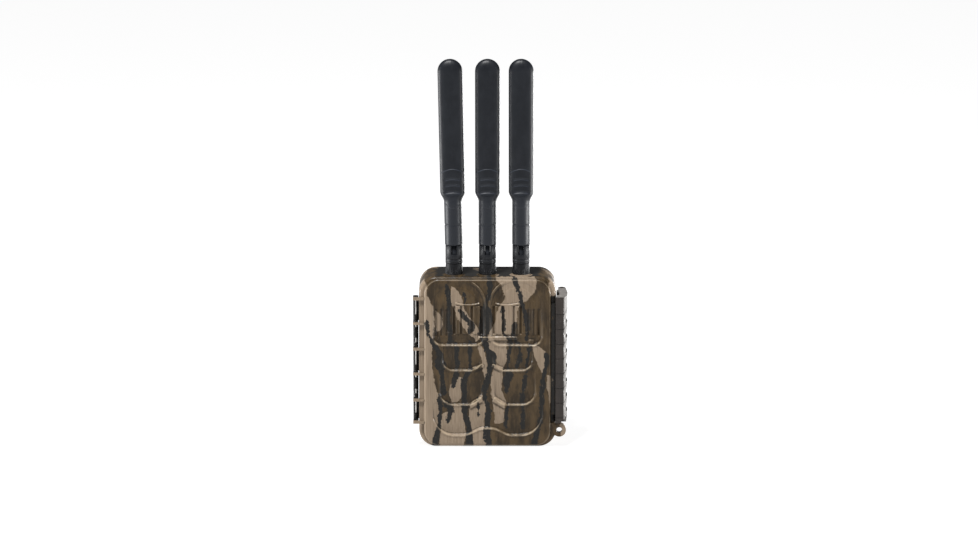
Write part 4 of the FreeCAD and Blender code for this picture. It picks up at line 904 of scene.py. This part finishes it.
# ---- contacts of the battery bay -----------------------------------------------------------------------
CELLS, CELL_PITCH, CELL_YS = 6, 15.4, (-11.6, 3.6)
SPRING_Z, SPRING_R, SPRING_WIRE = (14.4, 17.6), (4.1, 2.7), 0.32
PLATE_TOP, PLATE_THICK = 71.2, 0.5


def coil(cx, cy, turns=3.5, steps=18, around=8):
    """A tapering coil's points and faces: its wire is a ring of points swept up the helix."""
    count = int(turns * steps)
    points = []
    for k in range(count + 1):
        t = k / count
        a = 2 * math.pi * turns * t
        r = SPRING_R[0] + (SPRING_R[1] - SPRING_R[0]) * t
        z = SPRING_Z[0] + SPRING_WIRE + (SPRING_Z[1] - SPRING_Z[0] - 2 * SPRING_WIRE) * t
        for m in range(around):
            b = 2 * math.pi * m / around
            out = r + SPRING_WIRE * math.cos(b)
            points.append((cx + out * math.cos(a), cy + out * math.sin(a), z + SPRING_WIRE * math.sin(b)))
    return points, tube_faces(count + 1, around)


def plate(cx, cy, half=4.9, dish=0.7, cells=10):
    """A pressed contact plate, dished in the middle."""
    points = []
    for upper in (False, True):
        for i in range(cells + 1):
            for j in range(cells + 1):
                x, y = half * (2 * i / cells - 1), half * (2 * j / cells - 1)
                sink = dish * math.exp(-(x * x + y * y) / 5.0)
                points.append((cx + x, cy + y, PLATE_TOP - (0.0 if upper else PLATE_THICK + sink)))
    n = (cells + 1) ** 2
    faces = grid_faces(cells + 1, cells + 1)
    faces += [tuple(k + n for k in reversed(face)) for face in faces]
    rim = grid_rim(cells + 1, cells + 1)
    faces += [(a, a + n, b + n, b) for a, b in zip(rim, rim[1:] + rim[:1])]
    return points, faces


def build_contacts():
    """A spring under each cell and a plate over it, in one mesh."""
    points, faces = [], []
    for x in [(n - (CELLS - 1) / 2) * CELL_PITCH for n in range(CELLS)]:
        for y in CELL_YS:
            for some_points, some_faces in (coil(x, y), plate(x, y)):
                start = len(points)
                points += some_points
                faces += [tuple(k + start for k in f) for f in some_faces]
    obj = add_mesh("contact_springs", points, faces, "housing", "contact")
    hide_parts("battery_contacts")


# ---- stage ---------------------------------------------------------------------------------------------
WHITE = (1.0, 1.0, 1.0, 1.0)
WORLD_STRENGTH, FLOOR_HALF, FLOOR_GLOW, FLOOR_GREY = 0.18, 40.0, 0.88, 0.30
KEY_AIM, STRIP_Z, STRIP_DEPTH = (0.0, 0.0, 0.12), 0.065, 0.11
STRIPS = (  # low side lights: name, x, y, length and power
    ("side_right", 1.1, -0.05, 0.5, 16.0),
    ("side_left", -1.1, -0.05, 0.5, 14.0),
    ("back", 0.75, 1.20, 0.6, 8.0),
)


def add_light(name, place, aim, size, power):
    """A soft rectangular light that shines at aim."""
    data = bpy.data.lights.new(name, "AREA")
    data.shape = "RECTANGLE"
    data.size, data.size_y = size
    data.energy = power
    light = bpy.data.objects.new(name, data)
    light.location = place
    light.rotation_euler = (Vector(aim) - Vector(place)).to_track_quat("-Z", "Y").to_euler()
    bpy.context.scene.collection.objects.link(light)


def build_stage():
    """A pale glowing floor, a key light over the door side and low strips at the sides and behind."""
    world = bpy.data.worlds.new("studio")
    world.use_nodes = True
    world.node_tree.nodes["Background"].inputs["Color"].default_value = WHITE
    world.node_tree.nodes["Background"].inputs["Strength"].default_value = WORLD_STRENGTH
    bpy.context.scene.world = world
    bpy.context.scene.view_settings.view_transform = "Standard"
    corners = [(x * FLOOR_HALF, y * FLOOR_HALF, 0) for x, y in ((-1, -1), (1, -1), (1, 1), (-1, 1))]
    mesh = bpy.data.meshes.new("floor")
    mesh.from_pydata(corners, [], [(0, 1, 2, 3)])
    floor = bpy.data.objects.new("floor", mesh)
    bpy.context.scene.collection.objects.link(floor)
    g = Graph("pale_floor", (FLOOR_GREY,) * 3, 0.9, Emission_Color=WHITE, Emission_Strength=FLOOR_GLOW,
              Specular_IOR_Level=0.0)
    tone = g.noise((900.0, 900.0, 900.0), 2.0, 0.5)
    g.set("Base Color", g.mix(tone, (FLOOR_GREY - 0.01,) * 3, (FLOOR_GREY + 0.01,) * 3))
    mesh.materials.append(g.material)
    add_light("key", (-0.30, -0.72, 1.60), KEY_AIM, (0.30, 0.30), 52.0)
    for name, x, y, length, power in STRIPS:
        add_light(name, (x, y, STRIP_Z), (0.0, 0.0, STRIP_Z), (length, STRIP_DEPTH), power)


LENS_MM, FRAME_MM = 200.0, 36.0
VIEW_WIDTH, ELEVATION = 0.7628, 10.0  # metres across the picture at the aim, and degrees above level
AIM = (0.00117, -0.018, 0.1349)


def build_camera():
    """The camera, square on to the door and slightly above it."""
    data = bpy.data.cameras.new("camera")
    data.lens, data.sensor_width = LENS_MM, FRAME_MM
    data.clip_end = 200.0
    camera = bpy.data.objects.new("camera", data)
    back = VIEW_WIDTH / FRAME_MM * LENS_MM
    tilt = math.radians(ELEVATION)
    camera.location = Vector(AIM) + Vector((0.0, -math.cos(tilt), math.sin(tilt))) * back
    camera.rotation_euler = (HALF_PI - tilt, 0.0, 0.0)
    bpy.context.scene.collection.objects.link(camera)
    bpy.context.scene.camera = camera


build_door_relief()
for side in ANTENNAS:
    build_whip(side)
build_pir_dome()
build_contacts()
for node, width in SOFTENED.items():
    soften(node, width)
build_stage()
build_camera()
